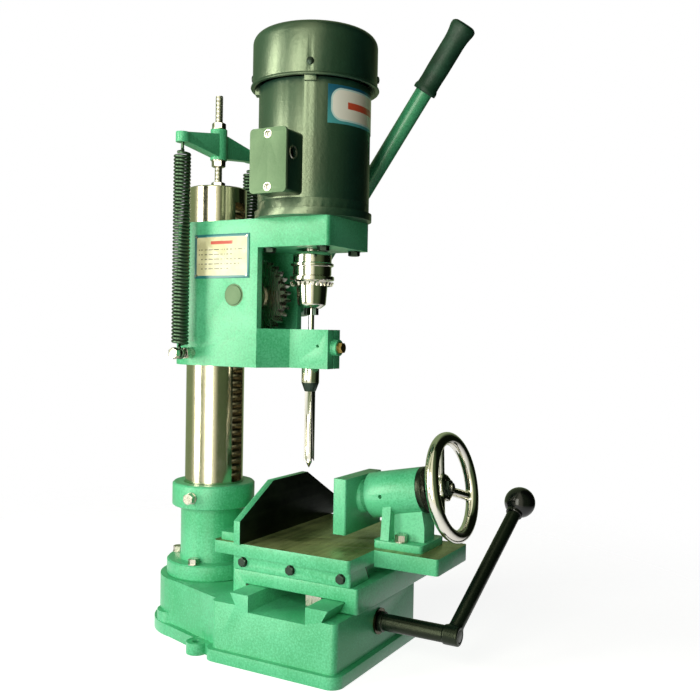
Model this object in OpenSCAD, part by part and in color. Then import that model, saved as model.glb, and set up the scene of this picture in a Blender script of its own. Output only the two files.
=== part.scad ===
// Benchtop hollow-chisel mortiser. Millimetres, Z up, bench at z = 0,
// column axis on the Z axis, operator side toward -Y, table traverse along X.

/* [Base] */
// Half width of the base casting
base_hw = 105; // [98:1:125]
// Front face of the base, distance in front of the column axis
base_front = 250; // [244:1:280]
// Height of the base shoulder that carries the column socket and the slide
base_h = 70; // [66:1:80]
// How far the foot plinth stands out past the base walls
plinth_out = 7; // [4:0.5:12]
// Height of the foot plinth
plinth_h = 14; // [10:1:18]
// Radius of the round rear boss under the column
boss_r = 68; // [64:1:76]
// How far the neck behind the slide stands in from the base walls
neck_in = 10; // [6:1:16]

/* [Column] */
// Column diameter
column_d = 76; // [72:0.5:80]
// Height of the column top above the bench
column_top = 576; // [565:1:620]
// Outer radius of the socket tube
socket_r = 42.5; // [41.5:0.5:46]
// Outer radius of the clamp collar at the socket top
collar_r = 54; // [51:0.5:56]
// Height of the socket top
socket_top = 190; // [180:1:200]

/* [Cross slides] */
// Table centre to the right of the column axis as parked
table_x = 33; // [20:1:35]
// Height of the base dovetail
dove_h = 13.5; // [12:0.5:14]
// Width of the saddle along X
saddle_w = 200; // [170:1:205]
// Width of the table plate along X
table_w = 212; // [200:1:230]
// Thickness of the table plate
table_t = 15; // [13:0.5:18]
// Height of the table surface
table_z = 133; // [130:0.5:138]

/* [Fence and clamp] */
// Length of the fence along X
fence_w = 224; // [200:1:240]
// Height of the fence above the table
fence_h = 68; // [55:1:76]
// Height of the square-cut ends of the fence
fence_end_h = 28; // [22:1:36]
// Width of the clamp jaw
jaw_w = 94; // [76:1:112]
// Tilt of the clamp screw, wheel end up
tilt = 11; // [9:0.5:12]
// Outer radius of the clamp barrel
barrel_r = 28; // [26:0.5:29]
// Radius of the sliding clamp quill
quill_r = 20.5; // [18:0.5:22]
// Outside diameter of the handwheel
wheel_d = 130; // [110:1:134]

/* [Head] */
// Half width of the head casting
head_hw = 51; // [50:0.5:56]
// Underside of the head
head_z0 = 345; // [335:1:350]
// Top of the motor plate
plate_z1 = 527; // [520:1:535]
// Thickness of the motor plate
plate_t = 35; // [28:1:40]
// Spindle axis in front of the column axis
spindle_y = 148; // [146:0.5:152]
// Half width of the chisel block
block_hw = 14.7; // [14:0.1:18]

/* [Feed] */
// Teeth on the feed pinion
feed_teeth = 30; // [24:2:30]
// Length of the feed lever from its axis to the tip
lever_len = 418; // [360:2:440]
// Lean of the parked feed lever from vertical
lever_lean = 35; // [25:1:40]

/* [Motor] */
// Radius of the motor frame
motor_r = 69; // [62:0.5:70]
// Height of the motor frame
motor_h = 160; // [150:1:175]
// Radius of the fan cowl
cowl_r = 77; // [76:0.5:82]
// Height of the fan cowl
cowl_h = 66; // [60:1:75]

/* [Chisel] */
// Width across the flats of the square chisel
chisel_w = 9.5; // [8:0.1:12.7]
// Height of the chisel points above the bench
chisel_tip = 229; // [220:1:250]

/* [Crank] */
// Length of the crank from its axis to the knob centre
crank_len = 202; // [180:2:230]
// Angle of the parked crank above horizontal
crank_ang = 41; // [25:1:50]
// Outward lean of the crank arm
crank_lean = 8; // [6:0.5:12]
// Diameter of the crank knob
knob_d = 39; // [32:1:48]

/* [Hidden] */
$fn = 96;
fit = 0.05;                      // radial clearance of a running or bolted fit
eps = 0.01;
mint = [0.24, 0.73, 0.48];
steel = [0.72, 0.72, 0.70];
dark = [0.10, 0.10, 0.10];
black = [0.05, 0.05, 0.05];
chrome = [0.80, 0.80, 0.82];

cr = column_d / 2;
wall = 10;
tan30 = tan(30);

// base slide
d_rear = -115;                   // rear root line of the base dovetail
d_front = -232;                  // front root line
d_top = base_h + dove_h;
t_rear = -133;                   // trough walls
t_front = -211;
trough_z = base_h - 6;
flange_t = 20;
flange_r = 60;
bolt_pr = 52.4;
bolt_at = [10, 100, 190, 280];   // directions of the socket bolts
lock_at = 187;                   // direction of the clamp bolt of the column
lug_x = base_hw - 8;
lug_y = -53;
lug_hole = 5.5;
lug_r = 13;                      // round lug about each bench bolt hole
lug_head = 10.5;                 // room for the head of a bench bolt
body_rear = -79;                 // rear end of the full-width base block

// crank drive
c_m = 2;
c_teeth = 26;
c_r = c_m * c_teeth / 2;
crank_z = base_h + 1.7 - c_r;    // crank axis height
crank_shaft_r = 10;
crank_end_r = 7;                 // spigot that carries the crank arm
crank_arm_r = 8.2;
arm_y = -344;
rack_y0 = -207;
rack_y1 = -186;
bush_r = 14;

// saddle and table
s_gap = 0.3;
sad_z0 = base_h + s_gap + 0.7;
sad_z1 = table_z - table_t - 17.5;     // shoulder under the table rails
sad_y0 = -256;
sad_y1 = -82;
gib_t = 5;
cav_z = d_top + s_gap;           // ceiling of the saddle's slide groove
sx0 = table_x - saddle_w / 2;
sx1 = table_x + saddle_w / 2;
tx0 = table_x - table_w / 2;
tx1 = table_x + table_w / 2;
tab_y0 = -248;
tab_y1 = -57;
ext_w = 90;
ext_y0 = -330;
ext_t = 19.5;
plate_z0 = table_z - table_t;
cd_hw = 50;                      // half width of the cross dovetail at its root
cd_h = plate_z0 - sad_z1;        // height of the cross dovetail
rail_hw = saddle_w / 2 + 1;

// fence
fence_y = -101;
fence_t = 9;
fence_foot_y = -63;
fx0 = table_x - fence_w / 2;
fx1 = table_x + fence_w / 2;
fence_top_hw = 41;

// clamp, along its own tilted axis: s is the distance forward of the wheel plane
wheel_y = -328;
wheel_z = 209.5;
rim_r = 7.2;                     // section of the handwheel's rim
hub_s = 7;                       // front of the handwheel's hub
s_cap0 = 30;
s_cap1 = 37;
s_barrel = 106;
s_quill0 = 50;
s_quill1 = 115.5;
vs_r = 9;
vs_end = 105.5;
jaw_y0 = -209.5;
jaw_y1 = -191.5;
jaw_z0 = table_z + 12.5;
jaw_z1 = table_z + 80;
foot_y0 = -304;
foot_y1 = -240;
foot_hw = 33;
foot_t = 9;
fb_x = 24;                       // bracket bolts, either side of the barrel
fb_y = -273;

// head
hr = head_hw;
side_y = -101;                   // front edge of the head's side walls
plate_y = -200.5;
plate_z0h = plate_z1 - plate_t;
arm_z1 = head_z0 + 48;
arm_front = -181;
cav_y = -47;
wall_h = 10;
sy = -spindle_y;
feed_m = 3;
feed_r = feed_m * feed_teeth / 2;
feed_y = -21 - feed_r;           // feed axis, so that the pinion meets the rack line
feed_z = head_z0 + 89;
rack_line = -21;
feed_shaft_r = 10;
rack_w = 20.9;
anchor_z = head_z0 + 15.5;
spring_x = head_hw + 22;
spring_r = 11;
yoke_z0 = column_top + 48;
yoke_z1 = yoke_z0 + 12.5;
stud_r = 5;
nut_af = 16;
yoke_boss = stud_r + 6;
lever_x = head_hw + 46;

// motor
motor_z0 = plate_z1;
bell_h = 20;
frame_z0 = motor_z0 + bell_h;
frame_z1 = motor_z0 + motor_h;
cowl_z1 = frame_z1 + cowl_h;
ears = [27, 117, 207, 297];      // directions of the cowl's screws
ear_z = 15;                      // height of the screws above the frame
core_r = motor_r - 7;
shaft_r = 10;
tb_x = motor_r + 28;             // outer face of the terminal box
tb_z = motor_z0 + 58;
tb_w = 48;
tb_h = 72;

// chuck
ch_top = plate_z0h - 3;
ring_z1 = ch_top - 30;
ring_z0 = ring_z1 - 10;
nose_z = ring_z0 - 30;
jaw_tip = nose_z - 8;
bit_r = 3.6;
ring_teeth = 27;
collar_z = head_z0 - 18;

module at_x(x0, x1, r) { translate([x0, 0, 0]) rotate([0, 90, 0]) cylinder(h = x1 - x0, r = r); }
module at_y(y0, y1, r) { translate([0, y1, 0]) rotate([90, 0, 0]) cylinder(h = y1 - y0, r = r); }
module bar_x(x0, x1) { translate([x0, 0, 0]) rotate([90, 0, 90]) linear_extrude(x1 - x0) children(); }
module bar_y(y0, y1) { translate([0, y1, 0]) rotate([90, 0, 0]) linear_extrude(y1 - y0) children(); }
module box(x0, x1, y0, y1, z0, z1) { translate([x0, y0, z0]) cube([x1 - x0, y1 - y0, z1 - z0]); }
module hexr(af, h) { cylinder(h = h, r = af / 2 / cos(30), $fn = 6); }
// rectangle with round corners, drawn as squares and circles
module rrect(x0, x1, y0, y1, r) {
    translate([x0 + r, y0]) square([x1 - x0 - 2 * r, y1 - y0]);
    translate([x0, y0 + r]) square([x1 - x0, y1 - y0 - 2 * r]);
    for (x = [x0 + r, x1 - r], y = [y0 + r, y1 - r]) translate([x, y]) circle(r = r, $fn = 48);
}
module rbox(x0, x1, y0, y1, z0, z1, r) {
    translate([0, 0, z0]) linear_extrude(z1 - z0) rrect(x0, x1, y0, y1, r);
}
module hex_bolt(r, len, af, hh) {          // head above z = 0, shank below
    hexr(af, hh);
    translate([0, 0, -len]) cylinder(h = len + eps, r = r);
}

// ---- gear outlines ----
function inv_ang(t) = t * 180 / PI - atan(t);
function tooth_pts(rb, r0, r1, half, rr) =
    let (t0 = r0 > rb ? sqrt(pow(r0 / rb, 2) - 1) : 0, t1 = sqrt(pow(r1 / rb, 2) - 1), n = 3)
    concat(
        [[rr * cos(half), -rr * sin(half)]],
        [for (i = [0:n]) let (t = t0 + (t1 - t0) * i / n, r = rb * sqrt(1 + t * t),
            a = -half + inv_ang(t)) [r * cos(a), r * sin(a)]],
        [for (i = [0:n]) let (t = t1 + (t0 - t1) * i / n, r = rb * sqrt(1 + t * t),
            a = half - inv_ang(t)) [r * cos(a), r * sin(a)]],
        [[rr * cos(half), rr * sin(half)]]);
function spin(p, a) = [p[0] * cos(a) - p[1] * sin(a), p[0] * sin(a) + p[1] * cos(a)];
// spur gear outline, a tooth centred on the +X direction
module gear2d(m, z, slack) {
    rp = m * z / 2;
    rb = rp * cos(20);
    ra = rp + 0.95 * m;
    rr = rp - 1.25 * m;
    tp = sqrt(pow(rp / rb, 2) - 1);
    half = 90 / z - slack / rp / 2 * 180 / PI + inv_ang(tp);
    pts = tooth_pts(rb, max(rb, rr), ra, half, rr);
    polygon([for (k = [0:z - 1]) for (p = pts) spin(p, 360 * k / z)]);
}
// rack outline along X, teeth up, pitch line on y = 0, a tooth centred on x = 0
module rack2d(m, n0, n1, back, slack) {
    p = PI * m;
    w = p / 2 - slack;
    wt = w - 2 * m * tan(20) * 0.95;
    wr = w + 2 * 1.25 * m * tan(20);
    polygon(concat([[n0 * p - p / 2, -back]], [[n0 * p - p / 2, -1.25 * m]],
        [for (i = [n0:n1]) for (q = [[-wr / 2, -1.25 * m], [-wt / 2, 0.95 * m], [wt / 2, 0.95 * m],
            [wr / 2, -1.25 * m]]) [i * p + q[0], q[1]]],
        [[n1 * p + p / 2, -1.25 * m]], [[n1 * p + p / 2, -back]]));
}

// ================= frame =================
// round boss and square front joined by straight walls tangent to the boss
module base_plan(g) {
    w = base_hw + g;
    r = boss_r + g;
    n = w - neck_in;
    a = atan2(body_rear, n) + acos(r / norm([n, body_rear]));
    t = [(r - 1) * cos(a), (r - 1) * sin(a)];
    circle(r = r);
    polygon([t, [n, body_rear], [n, body_rear - 30], [-n, body_rear - 30], [-n, body_rear], [-t[0], t[1]]]);
    rrect(-w, w, -base_front - g, body_rear + g, 8 + g);
}
roof = 6;                        // casting left over the core cavity
module base_casting() color(mint) difference() {
    union() {
        linear_extrude(plinth_h) base_plan(plinth_out);
        for (s = [-1, 1]) translate([s * lug_x, lug_y, 0]) cylinder(h = plinth_h, r = lug_r);
        linear_extrude(base_h) base_plan(0);
        // rear pads
        for (a = [30, 150]) rotate([0, 0, a]) translate([boss_r + plinth_out - 22.7, 0, 0]) cylinder(h = 27, r = 22);
        // slide dovetail
        bar_x(-base_hw, base_hw) polygon([[d_rear, base_h - 1], [d_rear, base_h],
            [d_rear + dove_h * tan30, d_top], [d_front - dove_h * tan30, d_top],
            [d_front, base_h], [d_front, base_h - 1]]);
    }
    // trough between the slide ways
    box(-base_hw - 20, base_hw + 20, t_front, t_rear, trough_z, d_top + 5);
    // core cavity, open below
    box(-base_hw + wall, base_hw - wall, -base_front + 14, -165, -1, trough_z - roof);
    box(-base_hw + wall, base_hw - wall, -153, -100, -1, trough_z - roof);
    // slot for the crank pinion
    box(-33, 33, rack_y0 - 1.5, rack_y1 + 1.5, 12, trough_z + 1);
    // bores for the crank bushes
    translate([0, 0, crank_z]) at_y(-base_front - 30, -base_front + 30, bush_r + fit);
    translate([0, 0, crank_z]) at_y(-170, -140, bush_r + fit);
    // bench bolt holes
    for (s = [-1, 1]) translate([s * lug_x, lug_y, 0]) {
        translate([0, 0, -1]) cylinder(h = plinth_h + 2, r = lug_hole);
        // spot face that clears the wall for the bolt head
        translate([0, 0, plinth_h - 0.6]) cylinder(h = 9.6, r = lug_head);
        translate([0, 0, plinth_h + 9]) cylinder(h = 6, r1 = lug_head, r2 = lug_head - 6);
    }
    // tapped holes for the socket bolts
    for (a = bolt_at) rotate([0, 0, a]) translate([bolt_pr, 0, base_h - 26]) cylinder(h = 30, r = 4 + fit);
}
module column_socket() color(mint) difference() {
    rotate_extrude() polygon([[cr + fit, base_h], [flange_r - 1.5, base_h], [flange_r, base_h + 1.5],
        [flange_r, base_h + flange_t - 2], [flange_r - 2, base_h + flange_t],
        [socket_r + 1, base_h + flange_t], [socket_r, base_h + flange_t + 1.5],
        [socket_r, socket_top - 32], [socket_r + 2, socket_top - 30], [collar_r - 1, socket_top - 30], [collar_r, socket_top - 29], [collar_r, socket_top - 2],
        [collar_r - 2, socket_top], [cr + 1.5, socket_top], [cr + fit, socket_top - 1.5]]);
    for (a = bolt_at) rotate([0, 0, a]) translate([bolt_pr, 0, base_h - 1]) cylinder(h = 40, r = 4 + fit);
    translate([0, 0, socket_top - 15]) rotate([0, 0, lock_at]) at_x(cr - 5, collar_r + 10, 4 + fit);
}
module socket_bolts() color(steel)
    for (a = bolt_at) rotate([0, 0, a]) translate([bolt_pr, 0, base_h + flange_t])
        hex_bolt(4, flange_t + 20, 12, 8);
module socket_lock_bolt() color(steel) translate([0, 0, socket_top - 15]) rotate([0, 0, lock_at]) {
    at_x(cr, collar_r + 4, 4);
    translate([collar_r + 4, 0, 0]) rotate([0, 90, 0]) hexr(13, 8);
}
module column() color(chrome) difference() {
    rotate_extrude() polygon([[0, base_h], [cr, base_h], [cr, column_top - 1.5], [cr - 1.5, column_top], [0, column_top]]);
    box(-rack_w / 2 - fit, rack_w / 2 + fit, -cr - 5, rack_line + 9, socket_top + 2, column_top - 20);
    translate([0, 0, column_top - 40]) cylinder(h = 50, r = stud_r + fit);
}
rack_p = PI * feed_m;
rack_up = floor((column_top - 24 - feed_z) / rack_p);
rack_dn = -floor((feed_z - socket_top - 8) / rack_p);
module column_rack() color(steel)
    translate([0, rack_line, feed_z]) bar_x(-rack_w / 2, rack_w / 2)
        rotate(90) rack2d(feed_m, rack_dn, rack_up, 9 - fit, 0.12);
module yoke_stud() color(steel) translate([0, 0, column_top - 38]) cylinder(h = 160, r = stud_r);
module yoke_nuts() color(steel) {
    for (z = [column_top, yoke_z0 - 19, yoke_z0 + 30]) translate([0, 0, z]) difference() {
        hexr(nut_af, 9);
        translate([0, 0, -1]) cylinder(h = 12, r = stud_r + fit);
    }
}
module spring_yoke() color(mint) difference() {
    union() {
        translate([0, 0, yoke_z0 - 10]) cylinder(h = 40, r = yoke_boss);
        // arms, deep at the boss and shallow at the ends
        bar_y(-7.5, 7.5) polygon([[0, yoke_z0 - 8], [spring_x - 6, yoke_z0], [spring_x, yoke_z0], [spring_x, yoke_z1],
            [0, yoke_z1 + 12], [-spring_x, yoke_z1], [-spring_x, yoke_z0], [6 - spring_x, yoke_z0]]);
        for (s = [-1, 1]) translate([s * spring_x, 0, yoke_z0]) cylinder(h = yoke_z1 - yoke_z0, r = 8.5);
    }
    translate([0, 0, yoke_z0 - 20]) cylinder(h = 60, r = stud_r + fit);
}
module spring(s) translate([s * spring_x, 0, 0]) {
    translate([0, 0, anchor_z + 4.5]) cylinder(h = yoke_z0 - anchor_z - 4.5, r = 1.6);
    translate([0, 0, anchor_z + 12]) cylinder(h = yoke_z0 - anchor_z - 26, r = spring_r);
}
module return_spring_left() color(dark) spring(-1);
module return_spring_right() color(dark) spring(1);
module crank_bushes() color([0.75, 0.6, 0.3]) translate([0, 0, crank_z]) {
    difference() {
        union() { at_y(-base_front, -base_front + 14, bush_r); at_y(-base_front - 2, -base_front, bush_r + 1.5); }
        at_y(-base_front - 30, -base_front + 30, crank_shaft_r + fit);
    }
    difference() { at_y(-165, -153, bush_r); at_y(-180, -140, crank_shaft_r + fit); }
}

// ================= crank =================
module crank_shaft() color(black) translate([0, 0, crank_z]) {
    at_y(arm_y + 9, -151, crank_shaft_r);
    at_y(arm_y - 10, arm_y + 9 + eps, crank_end_r);
    at_y(-base_front - 8, -base_front - 2.3, 12);
    at_y(-152.8, -150, crank_shaft_r + 1.8);
}
module crank_pinion() color(steel) translate([0, 0, crank_z]) difference() {
    bar_y(rack_y0 + 1, rack_y1 - 1) rotate(90 + 180 / c_teeth) gear2d(c_m, c_teeth, 0.15);
    at_y(-260, -150, crank_shaft_r + fit);
}
module crank_pose() rotate([0, -crank_ang, 0]) rotate([0, 0, -crank_lean]) children();
module crank_arm() color(black) translate([0, arm_y, crank_z]) difference() {
    union() {
        at_y(-10, 9, crank_shaft_r + 1.2);
        crank_pose() at_x(8, crank_len - knob_d / 2 + 6, crank_arm_r);
    }
    at_y(-20, 20, crank_end_r + fit);
}
module crank_knob() color(black) translate([0, arm_y, crank_z]) crank_pose() difference() {
    translate([crank_len, 0, 0]) sphere(r = knob_d / 2, $fn = 64);
    at_x(crank_len - knob_d, crank_len - knob_d / 2 + 6, crank_arm_r + fit);
}

// ================= saddle =================
module saddle() color(mint) difference() {
    union() {
        rbox(sx0, sx1, sad_y0, sad_y1, sad_z0, sad_z1, 4);
        // cross dovetail for the table
        bar_y(tab_y0 + 10, sad_y1 - 4) polygon([[table_x - cd_hw, sad_z1 - 1], [table_x - cd_hw, sad_z1],
            [table_x - cd_hw - (cd_h - s_gap) * tan30, plate_z0 - s_gap],
            [table_x + cd_hw + (cd_h - s_gap) * tan30, plate_z0 - s_gap],
            [table_x + cd_hw, sad_z1], [table_x + cd_hw, sad_z1 - 1]]);
    }
    // groove for the base slide, with room for the gib at the rear
    bar_x(sx0 - 5, sx1 + 5) polygon([[d_rear + gib_t, sad_z0 - 2],
        [d_rear + gib_t, base_h], [d_rear + gib_t + (cav_z - base_h) * tan30, cav_z],
        [d_front - s_gap - (cav_z - base_h) * tan30, cav_z], [d_front - s_gap, base_h], [d_front - s_gap, sad_z0 - 2]]);
}
module table_rack() color(steel) intersection() {
    translate([0, 0, base_h + 1.7]) bar_y(rack_y0, rack_y1) rotate(180)
        rack2d(c_m, -24, 24, cav_z - base_h - 1.7, 0.12);
    box(sx0 + 3, sx1 - 3, rack_y0 - 5, rack_y1 + 5, 0, 200);
}
// strip parallel to a 60 degree flank: a, b from the flank, from height z0 to z1
function strip(a, b, z0, z1, zf) = [[a + (z0 - zf) * tan30, z0], [b + (z0 - zf) * tan30, z0],
    [b + (z1 - zf) * tan30, z1], [a + (z1 - zf) * tan30, z1]];
module saddle_gib() color(steel) bar_x(sx0, sx1) translate([d_rear, 0])
    polygon(strip(0.35, gib_t - 0.1, base_h + 1.2, cav_z - 0.5, base_h));

// ================= table =================
module table_top() color(mint) difference() {
    union() {
        rbox(tx0, tx1, tab_y0, tab_y1, plate_z0, table_z, 5);
        rbox(table_x - ext_w / 2, table_x + ext_w / 2, ext_y0, tab_y0 + 12, table_z - ext_t, table_z, 4);
        // side rails that hold the cross dovetail
        rbox(table_x - rail_hw, table_x - cd_hw + 25, tab_y0 + 1, tab_y1 - 26, sad_z1 + 0.5, plate_z0 + 1, 3);
        rbox(table_x + cd_hw - 25, table_x + rail_hw, tab_y0 + 1, tab_y1 - 26, sad_z1 + 0.5, plate_z0 + 1, 3);
    }
    bar_y(tab_y0, tab_y1 + 10) polygon([[table_x - cd_hw - gib_t, sad_z1 - 1],
        [table_x - cd_hw - gib_t, sad_z1], [table_x - cd_hw - gib_t - cd_h * tan30, plate_z0],
        [table_x + cd_hw + s_gap + cd_h * tan30, plate_z0], [table_x + cd_hw + s_gap, sad_z1],
        [table_x + cd_hw + s_gap, sad_z1 - 1]]);
    // gib screw holes
    for (y = [-99, -167, -235]) translate([0, y, plate_z0 - 8])
        at_x(table_x - rail_hw - 5, table_x - cd_hw, 3 + fit);
    // tapped holes for the bracket and the fence
    for (s = [-1, 1]) translate([table_x + s * fb_x, fb_y, table_z - 16]) cylinder(h = 30, r = 4 + fit);
    for (s = [-1, 1]) translate([table_x + s * 70, fence_foot_y - 12, table_z - 13]) cylinder(h = 30, r = 4 + fit);
}
module table_gib() color(steel) bar_y(tab_y0 + 3, tab_y1 - 28) translate([table_x - cd_hw, 0])
    mirror([1, 0]) polygon(strip(0.35, gib_t - 0.1, sad_z1 + 1.2, plate_z0 - 0.5, sad_z1));
module table_gib_screws() color(dark) for (y = [-99, -167, -235]) translate([0, y, plate_z0 - 8]) {
    at_x(table_x - rail_hw - 3, table_x - cd_hw - gib_t - 7, 3);
    translate([table_x - rail_hw - 5, 0, 0]) rotate([0, 90, 0]) difference() {
        hexr(10, 5);
        translate([0, 0, -1]) cylinder(h = 3, r = 2.2);
    }
}
module fence() color(mint) difference() {
    union() {
        bar_y(fence_y, fence_y + fence_t) polygon([[fx0, table_z], [fx1, table_z], [fx1, table_z + fence_end_h],
            [table_x + fence_top_hw, table_z + fence_h], [table_x - fence_top_hw, table_z + fence_h],
            [fx0, table_z + fence_end_h]]);
        rbox(fx0 + 12, fx1 - 12, fence_y + 1, fence_foot_y, table_z, table_z + 10, 4);
        for (s = [-1, 1]) translate([table_x + s * 34 - 4, 0, 0]) bar_x(0, 8)
            polygon([[fence_y + 2, table_z + 5], [fence_foot_y - 6, table_z + 5], [fence_foot_y - 6, table_z + 12],
                [fence_y + fence_t, table_z + fence_h - 14], [fence_y + 2, table_z + fence_h - 14]]);
    }
    for (s = [-1, 1]) translate([table_x + s * 70, fence_foot_y - 12, table_z - 1]) cylinder(h = 30, r = 4 + fit);
}
module fence_bolts() color(steel) for (s = [-1, 1])
    translate([table_x + s * 70, fence_foot_y - 12, table_z + 10]) hex_bolt(4, 21, 13, 6);

// clamp frame: local +Y runs forward along the clamp screw from the wheel plane
module clamp() translate([table_x, wheel_y, wheel_z]) rotate([-tilt, 0, 0]) children();
module vise_bracket() color(mint) difference() {
    union() {
        clamp() at_y(s_cap1, s_barrel, barrel_r);
        rbox(table_x - foot_hw, table_x + foot_hw, foot_y0, foot_y1, table_z, table_z + foot_t, 5);
        // pedestal under the barrel
        intersection() {
            box(table_x - 15, table_x + 15, foot_y0 + 5, foot_y1 - 4, table_z + 2, wheel_z);
            translate([table_x, wheel_y, wheel_z]) rotate([-tilt, 0, 0]) translate([-20, s_cap1 + 1, -90]) cube([40, s_barrel - s_cap1 - 2, 90]);
        }
        // cross web
        difference() {
            bar_y(-259, -248) polygon([[table_x - 30, table_z + 4], [table_x + 30, table_z + 4],
                [table_x + 24, wheel_z - 22], [table_x - 24, wheel_z - 22]]);
            clamp() at_y(0, 200, barrel_r - 2);
        }
    }
    clamp() at_y(s_cap1 - 5, s_barrel + 5, quill_r + fit);
    for (s = [-1, 1]) translate([table_x + s * fb_x, fb_y, table_z - 1]) cylinder(h = 30, r = 4 + fit);
    clamp() translate([0, s_barrel - 22, 0]) rotate([0, 0, 180]) at_x(quill_r - 2, barrel_r + 5, 2.5);
}
module bracket_bolts() color(steel) for (s = [-1, 1])
    translate([table_x + s * fb_x, fb_y, table_z + foot_t]) hex_bolt(4, foot_t + 15, 13, 9);
module vise_end_cap() color(black) clamp() difference() {
    at_y(s_cap0, s_cap1, barrel_r);
    at_y(s_cap0 - 5, s_cap1 + 5, vs_r + fit);
}
module vise_quill() color(steel) clamp() difference() {
    at_y(s_quill0, s_quill1, quill_r);
    at_y(s_quill0 - 5, s_quill1 - 4, vs_r + fit);
    at_y(vs_end, s_quill1 + 5, 3 + fit);
}
module vise_jaw() color(mint) difference() {
    union() {
        rbox(table_x - jaw_w / 2, table_x + jaw_w / 2, jaw_y0, jaw_y1, jaw_z0, jaw_z1, 2.5);
        intersection() {
            clamp() at_y(s_quill1, s_quill1 + 30, quill_r);
            box(table_x - 60, table_x + 60, -260, jaw_y1 - 3, 0, 400);
        }
    }
    clamp() at_y(s_quill1 - 5, s_quill1 + 60, 3 + fit);
    clamp() at_y(s_quill1 + 12, s_quill1 + 60, 6);
}
module jaw_screw() color(dark) clamp() {
    at_y(s_quill1 - 3.8, s_quill1 + 12, 3);
    difference() {
        at_y(s_quill1 + 12, s_quill1 + 17, 5.5);
        translate([0, s_quill1 + 18, 0]) rotate([90, 0, 0]) hexr(5, 4);
    }
}
module vise_screw() color(steel) clamp() {
    at_y(hub_s, vs_end, vs_r);
    at_y(s_cap1 + 0.3, s_cap1 + 6, vs_r + 5);
    at_y(hub_s - 8, hub_s + 2, 5);
}
module handwheel() color(chrome) clamp() difference() {
    union() {
        rotate([90, 0, 0]) rotate_extrude() translate([wheel_d / 2 - rim_r, 0]) circle(r = rim_r, $fn = 40);
        at_y(hub_s, s_cap0 - 0.5, 15.5);
        for (a = [20, 140, 260]) rotate([0, a, 0]) translate([12, 14, 0])
            rotate([0, 0, -13]) at_x(0, wheel_d / 2 - 20, 5.2);
    }
    at_y(-20, s_cap0 + 5, vs_r + fit);
}
module handwheel_nut() color(steel) clamp() difference() {
    translate([0, hub_s, 0]) rotate([90, 0, 0]) hexr(16, 6);
    at_y(hub_s - 12, hub_s + 8, 5 + fit);
}

// ================= head =================
module head_casting() color(mint) difference() {
    union() {
        // body round the column
        translate([0, 0, head_z0]) linear_extrude(plate_z1 - head_z0) {
            circle(r = hr);
            translate([-hr, side_y]) square([2 * hr, -side_y]);
        }
        // motor plate
        rbox(-hr, hr, plate_y, side_y + 20, plate_z0h, plate_z1, 5);
        // lower arm with the chisel block
        translate([0, 0, head_z0]) linear_extrude(arm_z1 - head_z0)
            polygon([[-hr, side_y + 5], [-hr, side_y], [-block_hw, -126], [-block_hw, arm_front],
                [block_hw, arm_front], [block_hw, -126], [hr, side_y], [hr, side_y + 5]]);
        translate([0, 0, head_z0 + 26]) at_y(arm_front - 8, arm_front + 5, 10);
        // boss for the feed shaft on the lever side
        translate([0, feed_y, feed_z]) at_x(hr - 5, hr + 18, 19);
    }
    // column bore
    translate([0, 0, head_z0 - 5]) cylinder(h = 400, r = cr + fit);
    // chamber for the pinion, open at the front
    box(-hr + wall_h, hr - wall_h, side_y - 60, cav_y, arm_z1, plate_z0h);
    box(-13.5, 13.5, side_y - 18, -20, feed_z - feed_r - 5, plate_z0h);
    // feed shaft bores
    translate([0, feed_y, feed_z]) at_x(-hr - 10, hr + 30, 14 + fit);
    // spindle passage
    translate([0, sy, plate_z0h - 5]) cylinder(h = plate_t + 20, r = 20);
    // chisel bore with its clamp split
    translate([0, sy, head_z0 - 5]) cylinder(h = 80, r = 9.5 + fit);
    box(-0.8, 0.8, arm_front - 12, sy - 8, head_z0 - 5, arm_z1 + 5);
    translate([0, 0, head_z0 + 26]) at_y(arm_front - 20, sy - 8, 3.5 + fit);
    // tapped hole for a set screw in the side of the chisel block
    translate([0, sy - 18.5, head_z0 + 27.7]) at_x(-block_hw - 5, -block_hw + 6, 2);
    // spring anchor holes
    translate([0, 0, anchor_z]) { at_x(-hr - 5, -hr + 10, 4 + fit); at_x(hr - 10, hr + 5, 4 + fit); }
    // motor bolt holes
    for (x = [-38, 38], y = [-38, 38]) translate([x, sy + y, plate_z0h - 5]) cylinder(h = 60, r = 4 + fit);
}
module spring_anchors() color(steel) translate([0, 0, anchor_z]) for (s = [0, 180]) rotate([0, 0, s]) {
    at_x(hr - 9, spring_x + 7, 4);
    at_x(hr, spring_x - 7, 7);
    translate([spring_x + 7, 0, 0]) rotate([0, 90, 0]) hexr(13, 7);
}
module name_plate() color([0.85, 0.85, 0.7]) {
    box(-hr - 1, -hr, -89, -4.5, plate_z1 - 72, plate_z1 - 17);
    for (y = [-85.5, -8], z = [plate_z1 - 68.5, plate_z1 - 20.5]) translate([-hr - 1.8, y, z]) rotate([0, 90, 0]) cylinder(h = 0.9, r = 1.5, $fn = 24);
}
module feed_bushes() color([0.75, 0.6, 0.3]) translate([0, feed_y, feed_z]) {
    difference() {
        union() { at_x(-hr, -hr + wall_h, 14); at_x(-hr - 1.5, -hr, 12); }
        at_x(-hr + 2, 0, feed_shaft_r + fit);
    }
    difference() { at_x(hr - wall_h, hr + 20, 14); at_x(0, hr + 30, feed_shaft_r + fit); }
}
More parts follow.
